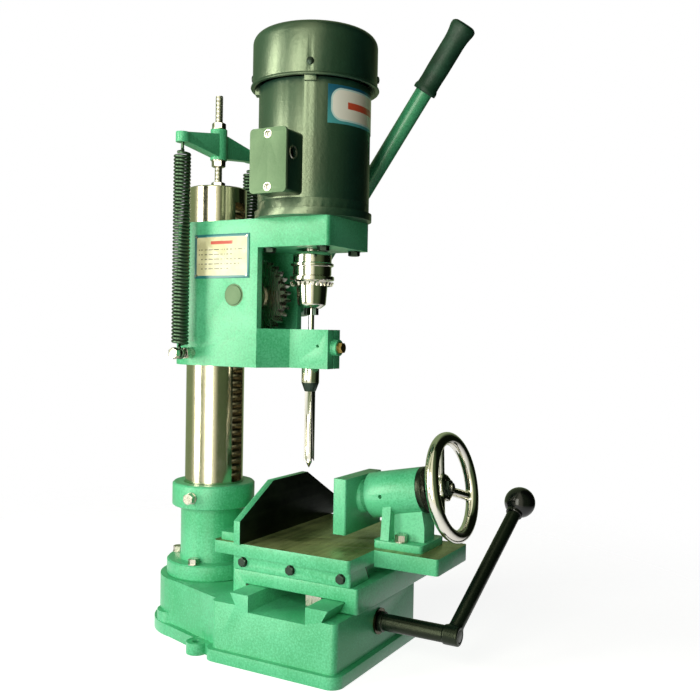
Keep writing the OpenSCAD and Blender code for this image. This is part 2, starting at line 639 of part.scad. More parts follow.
module mortise_chisel() color(chrome) translate([0, sy, 0]) difference() {
    union() {
        translate([0, 0, head_z0]) cylinder(h = 40, r = 9.5);
        translate([0, 0, collar_z]) cylinder(h = head_z0 - collar_z, r = 11);
        translate([0, 0, collar_z - 11]) cylinder(h = 11.01, r1 = 7, r2 = 11);
        translate([-chisel_w / 2, -chisel_w / 2, chisel_tip]) cube([chisel_w, chisel_w, collar_z - 5 - chisel_tip]);
    }
    translate([0, 0, chisel_tip - 5]) cylinder(h = 300, r = bit_r + 0.4);
    translate([0, 0, chisel_tip - 0.01]) cylinder(h = 5, r1 = chisel_w * 0.62, r2 = bit_r + 0.3);
    box(-chisel_w, -chisel_w / 2 + 2.5, -1.8, 1.8, chisel_tip + 18, chisel_tip + 58);
}
module chisel_clamp_bolt() color([0.6, 0.5, 0.35]) translate([0, 0, head_z0 + 26]) {
    at_y(arm_front - 8, sy - 12, 3.5);
    translate([0, arm_front - 8, 0]) rotate([90, 0, 0]) hexr(12, 6);
}
module motor_end_bell() color(black) translate([0, sy, 0]) difference() {
    union() {
        translate([0, 0, motor_z0]) cylinder(h = bell_h, r = motor_r);
        translate([0, 0, motor_z0]) cylinder(h = 9, r = motor_r + 3.5);
    }
    translate([0, 0, motor_z0 - 5]) cylinder(h = 60, r = shaft_r + fit);
    translate([0, 0, motor_z0 + 10]) cylinder(h = 60, r = 50);
    for (x = [-38, 38], y = [-38, 38]) translate([x, y, motor_z0 - 1]) cylinder(h = 30, r = 4 + fit);
}
module motor_frame() color(black) translate([0, sy, 0]) difference() {
    union() {
        translate([0, 0, frame_z0]) cylinder(h = frame_z1 - frame_z0, r = motor_r);
        for (a = ears) rotate([0, 0, a]) box(motor_r - 4, cowl_r - 3.4, -7, 7, frame_z1 - 6, frame_z1 + ear_z + 6);
    }
    translate([0, 0, frame_z0 - 1]) cylinder(h = frame_z1 - frame_z0 - 11, r = core_r);
    translate([0, 0, frame_z0]) cylinder(h = 300, r = shaft_r + fit);
    translate([0, 0, frame_z1]) cylinder(h = 60, r = motor_r - 3.9);
    for (a = ears) rotate([0, 0, a]) translate([0, 0, frame_z1 + ear_z]) at_x(motor_r - 6, cowl_r + 5, 2.5 + fit);
}
module motor_cowl() color(black) translate([0, sy, frame_z1]) difference() {
    rotate_extrude() difference() {
        union() {
            square([cowl_r, cowl_h - 14]);
            square([cowl_r - 14, cowl_h]);
            translate([cowl_r - 14, cowl_h - 14]) circle(r = 14);
        }
        translate([0, -1]) square([cowl_r - 3 + fit, cowl_h - 13]);
        square([cowl_r - 17, cowl_h - 3]);
        translate([cowl_r - 14, cowl_h - 14]) circle(r = 11 + fit);
        translate([-cowl_r, -1]) square([cowl_r, cowl_h + 20]);
    }
    for (a = [0:30:330]) rotate([0, 0, a]) {
        translate([50, 0, cowl_h - 8]) cylinder(h = 20, r = 4, $fn = 24);
        translate([34, 0, cowl_h - 8]) cylinder(h = 20, r = 3.2, $fn = 24);
    }
    for (a = ears) rotate([0, 0, a]) translate([0, 0, ear_z]) at_x(motor_r - 6, cowl_r + 5, 2.5 + fit);
}
module cowl_screws() color(steel) translate([0, sy, frame_z1 + ear_z])
    for (a = ears) rotate([0, 0, a]) { at_x(motor_r - 3, cowl_r, 2.5); at_x(cowl_r, cowl_r + 2.5, 4.5); }
module terminal_box() color(black) difference() {
    rbox2(-tb_x, -motor_r + 14, 0);
    translate([0, sy, 0]) cylinder(h = 900, r = motor_r + fit);
    box(-tb_x - 1, -motor_r - 6, sy - tb_w / 2 + 4, sy + tb_w / 2 - 4, tb_z - tb_h / 2 + 4, tb_z + tb_h / 2 - 4);
    for (z = [-1, 1]) translate([0, sy, tb_z + z * (tb_h / 2 - 6)]) at_x(-tb_x - 5, -tb_x + 14, 2 + fit);
    // gland hole in the front side
    translate([-motor_r - 16, 0, tb_z + 10]) at_y(sy - tb_w / 2 - 5, sy - tb_w / 2 + 6, 6);
}
module rbox2(x0, x1, g) bar_x(x0, x1) rrect(sy - tb_w / 2 - g, sy + tb_w / 2 + g, tb_z - tb_h / 2 - g, tb_z + tb_h / 2 + g, 5);
module terminal_cover() color([0.55, 0.62, 0.55]) difference() {
    rbox2(-tb_x - 4, -tb_x, 1);
    for (z = [-1, 1]) translate([0, sy, tb_z + z * (tb_h / 2 - 6)]) at_x(-tb_x - 5, -tb_x + 14, 2 + fit);
}
module terminal_screws() color(steel) for (z = [-1, 1]) translate([0, sy, tb_z + z * (tb_h / 2 - 6)]) {
    at_x(-tb_x - 4, -tb_x + 8, 2);
    at_x(-tb_x - 6, -tb_x - 4, 4);
}
module motor_label() color([0.2, 0.6, 0.65]) translate([0, sy, frame_z1 - 53]) rotate([0, 0, 224])
    rotate_extrude(angle = 96) translate([motor_r + fit, 0]) square([0.6, 45]);
module motor_bolts() color(steel) for (x = [-38, 38], y = [-38, 38]) translate([x, sy + y, plate_z0h]) {
    cylinder(h = plate_t + 9, r = 4);
    translate([0, 0, -6]) hexr(13, 6);
}
module stator_core() color([0.5, 0.4, 0.3]) translate([0, sy, frame_z0 + 16]) difference() {
    cylinder(h = 92, r = core_r - fit);
    translate([0, 0, -1]) cylinder(h = 100, r = 36);
}

// ================= spindle =================
module rotor_shaft() color(steel) translate([0, sy, 0]) {
    translate([0, 0, ch_top - 16]) cylinder(h = frame_z1 + 32 - ch_top + 16, r = shaft_r);
    translate([0, 0, frame_z0 + 18]) cylinder(h = 88, r = 35);
}
module cooling_fan() color(dark) translate([0, sy, frame_z1 + 6]) difference() {
    union() {
        cylinder(h = 26, r = 20);
        cylinder(h = 2.5, r = 60);
        for (a = [0:45:315]) rotate([0, 0, a]) box(15, 60, -1.2, 1.2, 1, 24);
    }
    translate([0, 0, -1]) cylinder(h = 40, r = shaft_r + fit);
}
module chuck_body() color(chrome) translate([0, sy, 0]) difference() {
    union() {
        translate([0, 0, ring_z1]) cylinder(h = ch_top - ring_z1 - 3, r = 24);
        translate([0, 0, ch_top - 3.01]) cylinder(h = 3.01, r1 = 24, r2 = 21);
        translate([0, 0, ring_z1 + 12]) cylinder(h = 4, r = 26.8);
        translate([0, 0, ring_z0 + 2]) cylinder(h = ring_z1 - ring_z0, r = 18);
    }
    translate([0, 0, ch_top - 16]) cylinder(h = 30, r = shaft_r + fit);
}
module chuck_sleeve() color(steel) translate([0, sy, 0]) difference() {
    union() {
        translate([0, 0, ring_z0]) cylinder(h = 3, r1 = 25, r2 = 27.5);
        translate([0, 0, ring_z0 + 3 - eps]) cylinder(h = ring_z1 - ring_z0 - 3 + eps, r = 27.5);
        translate([0, 0, nose_z + 4]) cylinder(h = ring_z0 - nose_z - 4 + eps, r1 = 17.5, r2 = 19.5);
        translate([0, 0, nose_z]) cylinder(h = 4 + eps, r1 = 11, r2 = 17.5);
    }
    translate([0, 0, ring_z0 + 2 - fit]) cylinder(h = 30, r = 18 + fit);
    translate([0, 0, nose_z - 5]) cylinder(h = ring_z0 + 7 - nose_z, r = 9.1);
    // key teeth round the lower edge of the ring
    for (k = [0:ring_teeth - 1]) rotate([0, 0, k * 360 / ring_teeth]) box(24, 30, -1.3, 1.3, ring_z0 - 1, ring_z0 + 5);
}
module chuck_jaws() color(steel) translate([0, sy, 0]) for (a = [30, 150, 270]) rotate([0, 0, a])
    intersection() {
        translate([0, 0, jaw_tip]) cylinder(h = 26, r = 9);
        box(bit_r + fit, 12, -3.2, 3.2, jaw_tip, jaw_tip + 26);
    }
module auger_bit() color(steel) translate([0, sy, 0]) {
    translate([0, 0, chisel_tip - 2]) cylinder(h = jaw_tip + 24 - chisel_tip, r = bit_r);
    translate([0, 0, chisel_tip - 8]) cylinder(h = 6.01, r1 = 0.6, r2 = bit_r);
}

// ================= feed =================
module feed_shaft() color(steel) translate([0, feed_y, feed_z]) {
    at_x(-hr + 3, lever_x + 12, feed_shaft_r);
    at_x(hr + 20.3, lever_x - 14, 14);
    at_x(12.2, hr - wall_h - 0.5, 13);
}
module feed_pinion() color(steel) translate([0, feed_y, feed_z]) difference() {
    union() {
        bar_x(-9, 6) rotate(180 / feed_teeth) gear2d(feed_m, feed_teeth, 0.15);
        at_x(-12, 12, 20);
    }
    at_x(-60, 60, feed_shaft_r + fit);
}
module lever_pose() translate([lever_x, feed_y, feed_z]) rotate([lever_lean, 0, 0]) children();
module feed_lever() color(mint) difference() {
    union() {
        translate([0, feed_y, feed_z]) at_x(lever_x - 13.7, lever_x + 14, 23);
        lever_pose() translate([0, 0, 15]) cylinder(h = lever_len - 24, r = 11);
    }
    translate([0, feed_y, feed_z]) at_x(lever_x - 20, lever_x + 20, feed_shaft_r + fit);
}
module lever_grip() color(black) lever_pose() difference() {
    rotate_extrude() polygon([[0, lever_len - 95], [14, lever_len - 95], [14.5, lever_len - 90],
        [14.5, lever_len - 14], [16.5, lever_len - 9], [16.5, lever_len - 3], [13, lever_len], [0, lever_len]]);
    translate([0, 0, lever_len - 100]) cylinder(h = 91, r = 11 + fit);
}

base_casting();
column_socket();
socket_bolts();
socket_lock_bolt();
column();
column_rack();
yoke_stud();
yoke_nuts();
spring_yoke();
return_spring_left();
return_spring_right();
crank_bushes();
crank_shaft();
crank_pinion();
crank_arm();
crank_knob();
saddle();
table_rack();
saddle_gib();
table_top();
table_gib();
table_gib_screws();
fence();
fence_bolts();
vise_bracket();
bracket_bolts();
vise_end_cap();
vise_quill();
vise_jaw();
jaw_screw();
vise_screw();
handwheel();
handwheel_nut();
head_casting();
spring_anchors();
name_plate();
feed_bushes();
mortise_chisel();
chisel_clamp_bolt();
motor_end_bell();
motor_frame();
motor_cowl();
cowl_screws();
terminal_box();
terminal_cover();
terminal_screws();
motor_label();
motor_bolts();
stator_core();
rotor_shaft();
cooling_fan();
chuck_body();
chuck_sleeve();
chuck_jaws();
auger_bit();
feed_shaft();
feed_pinion();
feed_lever();
lever_grip();
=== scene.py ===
"""Looks of a benchtop hollow chisel mortiser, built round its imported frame.

Metres, Z up, operator toward -Y. Pieces are placed and sized in millimetres.
"""

import math

import bmesh
import bpy
from mathutils import Matrix, Vector


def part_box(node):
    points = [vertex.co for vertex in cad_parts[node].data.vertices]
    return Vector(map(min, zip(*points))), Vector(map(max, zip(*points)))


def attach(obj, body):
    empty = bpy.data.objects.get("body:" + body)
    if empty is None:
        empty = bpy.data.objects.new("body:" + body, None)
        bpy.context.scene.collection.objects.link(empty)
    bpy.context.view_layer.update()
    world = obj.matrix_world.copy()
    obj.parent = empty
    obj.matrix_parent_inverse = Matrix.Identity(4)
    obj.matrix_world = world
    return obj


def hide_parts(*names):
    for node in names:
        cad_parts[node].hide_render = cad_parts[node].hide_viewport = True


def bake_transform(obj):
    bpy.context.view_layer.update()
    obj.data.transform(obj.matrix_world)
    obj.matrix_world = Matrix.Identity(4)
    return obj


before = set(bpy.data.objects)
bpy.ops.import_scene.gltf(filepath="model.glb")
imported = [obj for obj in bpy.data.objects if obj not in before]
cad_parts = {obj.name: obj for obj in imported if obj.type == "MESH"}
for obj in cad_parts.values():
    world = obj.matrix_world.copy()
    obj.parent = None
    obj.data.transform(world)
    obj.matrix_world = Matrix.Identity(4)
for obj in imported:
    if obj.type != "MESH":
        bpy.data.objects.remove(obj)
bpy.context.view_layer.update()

MM = 0.001
TAU = 2 * math.pi

# Places and sizes in the frame, in millimetres
CHISEL_Y = -148
SOCKET_FLANGE_TOP = 90
SOCKET_BOLT_REACH = 52.4
SOCKET_BOLT_DEGREES = (10, 100, 190, 280)
LOCK_BOLT_REACH = 54
LOCK_BOLT_Z = 175
LOCK_BOLT_DEGREES = 187
COLUMN_TOP = 576
YOKE_UNDERSIDE = COLUMN_TOP + 38
YOKE_UPPER_SIDE = COLUMN_TOP + 78
SPRING_X = 73
SPRING_TOP = 610
SPRING_FOOT = 372.5
ANCHOR_Z = 360.5
CRANK_AT = (0, -344, 45.7)
CRANK_RISE = math.radians(41)
CRANK_LEAN = math.radians(8)
CRANK_LENGTH = 202
KNOB_R = 19.45
TABLE_X = 33
TABLE_Z = 133
WHEEL_AT = (33, -328, 209.5)
WHEEL_TILT = math.radians(11)
FEED_AT = (97, -66, 434)
LEVER_LEAN = math.radians(35)
LEVER_LENGTH = 418
MOTOR_PLATE_UNDERSIDE = 492
MOTOR_BOLT_OUT = 38
TERMINAL_Z = 585
COWL_R = 77
COWL_SCREW_Z = 702
COWL_SCREW_DEGREES = (27, 117, 207, 297)


# ------------------------------------------------ node trees


class Nodes:
    """Adds nodes to one tree. An input's value may be a number or another node's output."""

    def __init__(self, tree):
        self.tree = tree

    def put(self, socket, value):
        if isinstance(value, bpy.types.NodeSocket):
            self.tree.links.new(value, socket)
        else:
            socket.default_value = value

    def add(self, kind, ins=None, out=0, **settings):
        node = self.tree.nodes.new(kind)
        for name, value in settings.items():
            setattr(node, name, value)
        for key, value in (ins or {}).items():
            self.put(node.inputs[key], value)
        return node.outputs[out]

    def math(self, operation, *values):
        return self.add("ShaderNodeMath", dict(enumerate(values)), operation=operation)

    def vector(self, operation, *values, out=0):
        return self.add(
            "ShaderNodeVectorMath", dict(enumerate(values)), out, operation=operation
        )

    def ramp(self, value, low, high, to_low=0.0, to_high=1.0, smooth=True):
        return self.add(
            "ShaderNodeMapRange",
            {"Value": value, 1: low, 2: high, 3: to_low, 4: to_high},
            interpolation_type="SMOOTHSTEP" if smooth else "LINEAR",
        )

    def blend(self, share, a, b):
        """Colour a where share is 0 and b where it is 1."""
        return self.add("ShaderNodeMix", {0: share, 6: a, 7: b}, 2, data_type="RGBA")

    def split(self, vector):
        """The X, Y and Z of a vector."""
        node = self.tree.nodes.new("ShaderNodeSeparateXYZ")
        self.put(node.inputs[0], vector)
        return node.outputs


def srgb(red, green, blue):
    """A paint colour given as 0 to 255, as the shader wants it."""

    def linear(c):
        c /= 255
        return c / 12.92 if c <= 0.04045 else ((c + 0.055) / 1.055) ** 2.4

    return (linear(red), linear(green), linear(blue), 1.0)


def shifted(colour, times, plus=0.0):
    """A lighter or darker shade of a colour."""
    return tuple(min(1.0, c * times + plus) for c in colour[:3]) + (1.0,)


class Finish(Nodes):
    """A surface finish: one principled shader with its patterns on Object coordinates."""

    def __init__(self, name, **shader):
        self.material = bpy.data.materials.new(name)
        self.material.use_nodes = True
        super().__init__(self.material.node_tree)
        self.skin = self.tree.nodes["Principled BSDF"]
        for key, value in shader.items():
            label = key.replace("_", " ").title().replace("Ior", "IOR")
            self.skin.inputs[label].default_value = value
        self.where = self.add("ShaderNodeTexCoord", out=3)

    def noise(self, scale, detail=3.0, rough=0.55, stretch=None):
        spot = self.vector("MULTIPLY", self.where, stretch) if stretch else self.where
        return self.add(
            "ShaderNodeTexNoise",
            {"Vector": spot, "Scale": scale, "Detail": detail, "Roughness": rough},
        )

    def set(self, key, value):
        self.put(self.skin.inputs[key], value)

    def bump(self, height, depth, strength, over=None):
        """Raises the surface by height times depth, in metres."""
        ins = {"Height": height, "Distance": depth, "Strength": strength}
        if over:
            ins["Normal"] = over
        normal = self.add("ShaderNodeBump", ins)
        self.set("Normal", normal)
        return normal


def paint_on_casting(name, light, deep, grain=1.0, roughness=0.4):
    """Brushed enamel over a sand casting: grainy skin, small pits, uneven depth of colour."""
    f = Finish(name, roughness=roughness, coat_weight=0.3, coat_roughness=0.3)
    cloud = f.noise(9, 4)
    fine = f.noise(420, 4, 0.6)
    speck = f.add("ShaderNodeTexVoronoi", {"Vector": f.where, "Scale": 260.0})
    tone = f.math("ADD", f.math("MULTIPLY", cloud, 0.55), f.math("MULTIPLY", fine, 0.45))
    colour = f.blend(f.ramp(tone, 0.38, 0.62), deep, light)
    pale = shifted(light, 1.25, 0.03)
    worn = f.math("MULTIPLY", f.ramp(speck, 0.28, 0.10), f.ramp(f.noise(60), 0.45, 0.7, 0.0, 0.5))
    f.set("Base Color", f.blend(worn, colour, pale))
    f.set("Roughness", f.ramp(fine, 0.3, 0.75, roughness - 0.08, roughness + 0.16))
    soft = f.bump(f.noise(34, 3), 0.0012 * grain, 0.5)
    f.bump(fine, 0.00045 * grain, 0.7, soft)
    return f.material


def bare_metal(name, colour, roughness, scratch=(1.0, 1.0, 0.06), depth=0.00004, tarnish=0.3):
    """Metal with fine tool marks along one direction and a little tarnish."""
    f = Finish(name, metallic=1.0, roughness=roughness)
    lines = f.noise(900, 3, 0.6, stretch=scratch)
    stain = f.noise(22, 4, 0.6)
    dulled = f.ramp(stain, 0.35, 0.7, 0.0, tarnish * 2)
    f.set("Base Color", f.blend(dulled, colour, shifted(colour, 0.75)))
    worked = f.ramp(lines, 0.3, 0.7, roughness * 0.75, roughness * 1.25)
    f.set("Roughness", f.math("ADD", worked, f.ramp(stain, 0.4, 0.8, 0.0, 0.08)))
    f.bump(lines, depth, 0.6)
    return f.material


def ground_face(name, colour, deep, roughness, metallic=0.85):
    """Machined cast iron: close cutter marks along X, patches darkened by oil."""
    f = Finish(name, metallic=metallic, roughness=roughness)
    along_x = (0.05, 1.0, 1.0)
    marks = f.noise(1400, 2, 0.5, stretch=along_x)
    passes = f.noise(120, 1, 0.4, stretch=along_x)
    oil = f.noise(14, 4, 0.6)
    tone = f.math("ADD", f.math("MULTIPLY", oil, 0.7), f.math("MULTIPLY", passes, 0.3))
    f.set("Base Color", f.blend(f.ramp(tone, 0.36, 0.64), colour, deep))
    f.set("Roughness", f.ramp(marks, 0.3, 0.7, roughness - 0.07, roughness + 0.1))
    f.bump(marks, 0.00006, 0.7)
    return f.material


def motor_enamel(name, colour, sheen, roughness, ior):
    """Thick enamel with a slight orange peel and dust in it."""
    f = Finish(name, roughness=roughness, ior=ior, specular_tint=(0.86, 1.0, 0.68, 1.0))
    peel = f.noise(260, 2, 0.5)
    dust = f.noise(900, 2, 0.7)
    cloud = f.noise(18, 4)
    f.set("Base Color", f.blend(f.ramp(cloud, 0.35, 0.7), colour, sheen))
    f.set("Roughness", f.ramp(dust, 0.35, 0.75, roughness - 0.05, roughness + 0.12))
    f.bump(dust, 0.00008, 0.5, f.bump(peel, 0.0003, 0.6))
    return f.material


def moulded(name, colour, roughness, depth, scale=700):
    """Moulded plastic or rubber with a fine skin."""
    f = Finish(name, roughness=roughness)
    skin = f.noise(scale, 3, 0.6)
    pale = shifted(colour, 1.6, 0.004)
    f.set("Base Color", f.blend(f.ramp(f.noise(45, 3), 0.4, 0.7), colour, pale))
    f.set("Roughness", f.ramp(skin, 0.3, 0.7, roughness - 0.06, roughness + 0.1))
    f.bump(skin, depth, 0.8)
    return f.material


def laminations(name):
    """Stacked core plates seen edge on."""
    f = Finish(name, metallic=0.6, roughness=0.55)
    sheet = 0.0005
    edge = f.math("PINGPONG", f.split(f.where)[2], sheet)
    f.set("Base Color", f.blend(f.ramp(edge, 0.0, sheet), srgb(40, 30, 22), srgb(110, 82, 58)))
    f.bump(edge, 0.4, 0.8)
    return f.material


class Print(Finish):
    """A flat printed plate, drawn from rectangles in its own two coordinates u and v, in metres."""

    def band(self, value, low, high):
        soft = 0.0002
        up = self.ramp(value, low - soft, low + soft, smooth=False)
        down = self.ramp(value, high - soft, high + soft, 1.0, 0.0, smooth=False)
        return self.math("MULTIPLY", up, down)

    def patch(self, u, v, u0, u1, v0, v1):
        return self.math("MULTIPLY", self.band(u, u0, u1), self.band(v, v0, v1))


def printed_plate(name, low, high):
    """Cream instruction plate with a blue-green border and plain ruled lines."""
    f = Print(name, roughness=0.35, coat_weight=0.3)
    _, y, z = f.split(f.where)
    wide, tall = high.y - low.y, high.z - low.z
    mottle = f.ramp(f.noise(70, 3), 0.35, 0.7)
    cream = f.blend(mottle, srgb(226, 222, 178), srgb(200, 196, 150))
    border = 0.0035
    inner = f.patch(y, z, low.y + border, high.y - border, low.z + border, high.z - border)
    colour = f.blend(inner, srgb(38, 120, 122), cream)
    inset = wide * 0.30
    heading = f.patch(y, z, low.y + inset, high.y - inset, high.z - 0.0125, high.z - 0.0085)
    colour = f.blend(heading, colour, srgb(196, 70, 52))
    dashes = f.ramp(f.noise(330, 1, 0.5, stretch=(0.0, 1.0, 0.02)), 0.46, 0.5)
    first_row, margins, pitches, thick = 0.0185, 0.024, 5.2, 0.0013
    rows = ((0.08, 0.92), (0.08, 0.74), (0.12, 0.92), (0.08, 0.82), (0.12, 0.66))
    for row, (left, right) in enumerate(rows):
        top = high.z - first_row - row * (tall - margins) / pitches
        line = f.patch(y, z, low.y + wide * (1 - right), high.y - wide * left, top - thick, top)
        colour = f.blend(f.math("MULTIPLY", line, dashes), colour, srgb(96, 92, 60))
    f.set("Base Color", colour)
    f.bump(f.noise(900), 0.00003, 0.4)
    return f.material


def printed_sticker(name):
    """Blue-green sticker with a pale rounded panel and one plain stripe.

    It is drawn on the piece's own UV map, in metres.
    """
    f = Print(name, roughness=0.28, coat_weight=0.4)
    u, v, _ = f.split(f.add("ShaderNodeUVMap", uv_map="along"))
    teal = f.blend(f.ramp(v, 0.0, 0.045), srgb(74, 158, 160), srgb(20, 92, 120))

    def squared_past(value, middle, half):
        off = f.math("ABSOLUTE", f.math("SUBTRACT", value, middle))
        return f.math("POWER", f.math("MAXIMUM", f.math("SUBTRACT", off, half), 0.0), 2.0)

    across, tall = squared_past(u, 0.058, 0.040), squared_past(v, 0.0225, 0.005)
    reach = f.math("SQRT", f.math("ADD", across, tall))
    panel = f.ramp(reach, 0.0118, 0.0124, 1.0, 0.0)
    rim = f.ramp(reach, 0.0138, 0.0144, 1.0, 0.0)
    cream = f.blend(f.ramp(u, 0.0, 0.116), srgb(246, 244, 232), srgb(226, 214, 170))
    colour = f.blend(panel, f.blend(rim, teal, srgb(196, 226, 220)), cream)
    stripe = f.patch(u, v, 0.026, 0.090, 0.0185, 0.0265)
    f.set("Base Color", f.blend(stripe, colour, srgb(214, 84, 52)))
    f.bump(f.noise(500), 0.00003, 0.4)
    return f.material


MINT = srgb(98, 202, 152)
EMERALD = srgb(60, 170, 114)
CHROME = srgb(226, 222, 212)
STEEL = srgb(196, 192, 180)

look = {
    "green_paint": paint_on_casting("green enamel on casting", MINT, EMERALD),
    "green_smooth": paint_on_casting(
        "green enamel on steel", srgb(78, 176, 126), srgb(56, 146, 100), grain=0.25, roughness=0.3
    ),
    "table_iron": ground_face(
        "ground table top", srgb(168, 178, 120), srgb(96, 112, 64), 0.34, metallic=0.5
    ),
    # Ground iron made much darker than the table top: the darkness is painted shade and painted
    # dark reflection on the fence face, not the iron's own colour
    "fence_face_painted_shade": ground_face("ground fence face", srgb(52, 62, 50), srgb(22, 30, 24), 0.36),
    "slide_iron": ground_face("scraped slide way", srgb(96, 112, 86), srgb(44, 60, 44), 0.4),
    "bright_steel": bare_metal("bright steel", STEEL, 0.26),
    "column_steel": bare_metal(
        "ground column steel", srgb(214, 206, 186), 0.15, scratch=(1.0, 1.0, 0.3), depth=0.00001
    ),
    "chrome": bare_metal("polished plate", CHROME, 0.1, depth=0.000008, tarnish=0.15),
    "black_oxide": bare_metal("blackened steel", srgb(58, 70, 62), 0.34, depth=0.00002),
    "spring_wire": bare_metal("grey spring wire", srgb(84, 106, 86), 0.4, depth=0.00002),
    "motor_paint": motor_enamel(
        "black motor enamel", srgb(6, 44, 36), srgb(14, 56, 44), 0.34, ior=2.2
    ),
    "black_enamel": motor_enamel(
        "black gloss enamel", srgb(8, 15, 12), srgb(14, 24, 18), 0.3, ior=1.4
    ),
    "black_plastic": moulded("black ball plastic", srgb(12, 14, 14), 0.16, 0.00002),
    "grip_rubber": moulded("grip rubber", srgb(10, 54, 36), 0.5, 0.0002, 520),
    "bronze": bare_metal("bronze", srgb(178, 138, 76), 0.32),
    # Bronze darkened to stand for the shade in the hole round the crank shaft: painted shade, not
    # oil
    "bronze_painted_shade": bare_metal("oily bronze", srgb(64, 58, 36), 0.3),
    "plate_print": printed_plate("printed plate", *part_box("name_plate")),
    "label_film": printed_sticker("printed sticker"),
    "cover_grey": motor_enamel(
        "cover enamel", srgb(92, 122, 90), srgb(108, 138, 104), 0.45, ior=1.5
    ),
    "core_iron": laminations("core plates"),
    "zinc_steel": bare_metal("yellow zinc", srgb(176, 150, 92), 0.34),
}


# ------------------------------------------------ making pieces


def settle(obj, body, slot, *nodes):
    """A finished piece rides on its body and stands for its frame nodes."""
    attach(obj, body)
    if nodes:
        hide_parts(*nodes)
    return obj


def new_object(name, data):
    obj = bpy.data.objects.new(name, data)
    bpy.context.scene.collection.objects.link(obj)
    return obj


def mesh_of(name, bm, *finishes):
    """The edited mesh as a mesh of this name, dressed in these finishes."""
    mesh = bpy.data.meshes.new(name)
    for finish in finishes:
        mesh.materials.append(look[finish])
    bm.to_mesh(mesh)
    bm.free()
    return mesh


def made_plain(obj):
    """Turns the modifiers' result into the object's own mesh."""
    depsgraph = bpy.context.evaluated_depsgraph_get()
    mesh = bpy.data.meshes.new_from_object(obj.evaluated_get(depsgraph), depsgraph=depsgraph)
    obj.modifiers.clear()
    obj.data = mesh
    return obj


def smooth(mesh, angle=32):
    mesh.shade_smooth()
    mesh.set_sharp_from_angle(angle=math.radians(angle))


def solid_copy(*nodes):
    """One merged mesh of the named frame nodes, flat faces made whole."""
    same_point, same_plane = 0.000004, math.radians(0.6)
    bm = bmesh.new()
    for node in nodes:
        bm.from_mesh(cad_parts[node].data)
    bmesh.ops.remove_doubles(bm, verts=bm.verts, dist=same_point)
    bmesh.ops.dissolve_limit(
        bm, angle_limit=same_plane, verts=bm.verts, edges=bm.edges, delimit=set()
    )
    return bm


def rounded(name, nodes, body, slot, width, finish=None, segments=3, faces=None):
    """A copy of the named nodes with its edges rounded.

    faces(normal, centre) names a finish for a face, or None.
    """
    bm = solid_copy(*nodes)
    used = [finish or slot]
    if faces:
        for face in bm.faces:
            kind = faces(face.normal, face.calc_center_median() / MM)
            if kind:
                if kind not in used:
                    used.append(kind)
                face.material_index = used.index(kind)
    obj = new_object(name, mesh_of(name, bm, *used))
    bevel = obj.modifiers.new("rounded edges", "BEVEL")
    bevel.width = width * MM
    bevel.segments = segments
    bevel.limit_method = "ANGLE"
    bevel.angle_limit = math.radians(30)
    bevel.use_clamp_overlap = True
    bevel.harden_normals = True
    bevel.miter_outer = "MITER_ARC"
    obj.data.shade_smooth()
    made_plain(obj)
    return settle(obj, body, slot, *nodes)


def forged(name, nodes, body, slot, voxel, passes, swell, finish=None):
    """A copy whose joints run into each other, as on a forged or cast and polished piece."""
    obj = new_object(name, mesh_of(name, solid_copy(*nodes), finish or slot))
    skin = obj.modifiers.new("one skin", "REMESH")
    skin.mode = "VOXEL"
    skin.voxel_size = voxel * MM
    soft = obj.modifiers.new("run together", "SMOOTH")
    soft.factor = 0.5
    soft.iterations = passes
    out = obj.modifiers.new("fullness", "DISPLACE")
    out.strength = swell * MM
    out.mid_level = 0.0
    made_plain(obj)
    obj.data.shade_smooth()
    return settle(obj, body, slot, *nodes)


def lathe_mesh(name, profile, steps):
    """A turned shape from (radius, height) pairs in millimetres, round Z."""
    bm = bmesh.new()
    turn = [(math.cos(TAU * k / steps), math.sin(TAU * k / steps)) for k in range(steps)]
    rings = []
    for radius, height in profile:
        ways = [(0, 0)] if radius < 1e-6 else turn
        rings.append(
            [bm.verts.new((radius * MM * c, radius * MM * s, height * MM)) for c, s in ways]
        )
    for low, high in zip(rings, rings[1:]):
        for k in range(steps):
            j = (k + 1) % steps
            if len(low) == 1:
                bm.faces.new([low[0], high[j], high[k]])
            elif len(high) == 1:
                bm.faces.new([low[k], low[j], high[0]])
            else:
                bm.faces.new([low[k], low[j], high[j], high[k]])
    if profile[0] == profile[-1]:
        bmesh.ops.remove_doubles(bm, verts=bm.verts, dist=1e-7)
    bmesh.ops.recalc_face_normals(bm, faces=bm.faces)
    return mesh_of(name, bm)


def turned(name, profile, body, slot, place, nodes=(), finish=None, steps=96):
    mesh = lathe_mesh(name, profile, steps)
    mesh.transform(place)
    mesh.materials.append(look[finish or slot])
    smooth(mesh)
    return settle(new_object(name, mesh), body, slot, *nodes)


def at(x, y, z):
    return Matrix.Translation(Vector((x, y, z)) * MM)


CLAMP = at(*WHEEL_AT) @ Matrix.Rotation(-WHEEL_TILT, 4, "X")
LEVER = at(*FEED_AT) @ Matrix.Rotation(LEVER_LEAN, 4, "X")
CRANK = (
    at(*CRANK_AT)
    @ Matrix.Rotation(-CRANK_RISE, 4, "Y")
    @ Matrix.Rotation(-CRANK_LEAN, 4, "Z")
)


# ------------------------------------------------ trees that repeat or follow a path


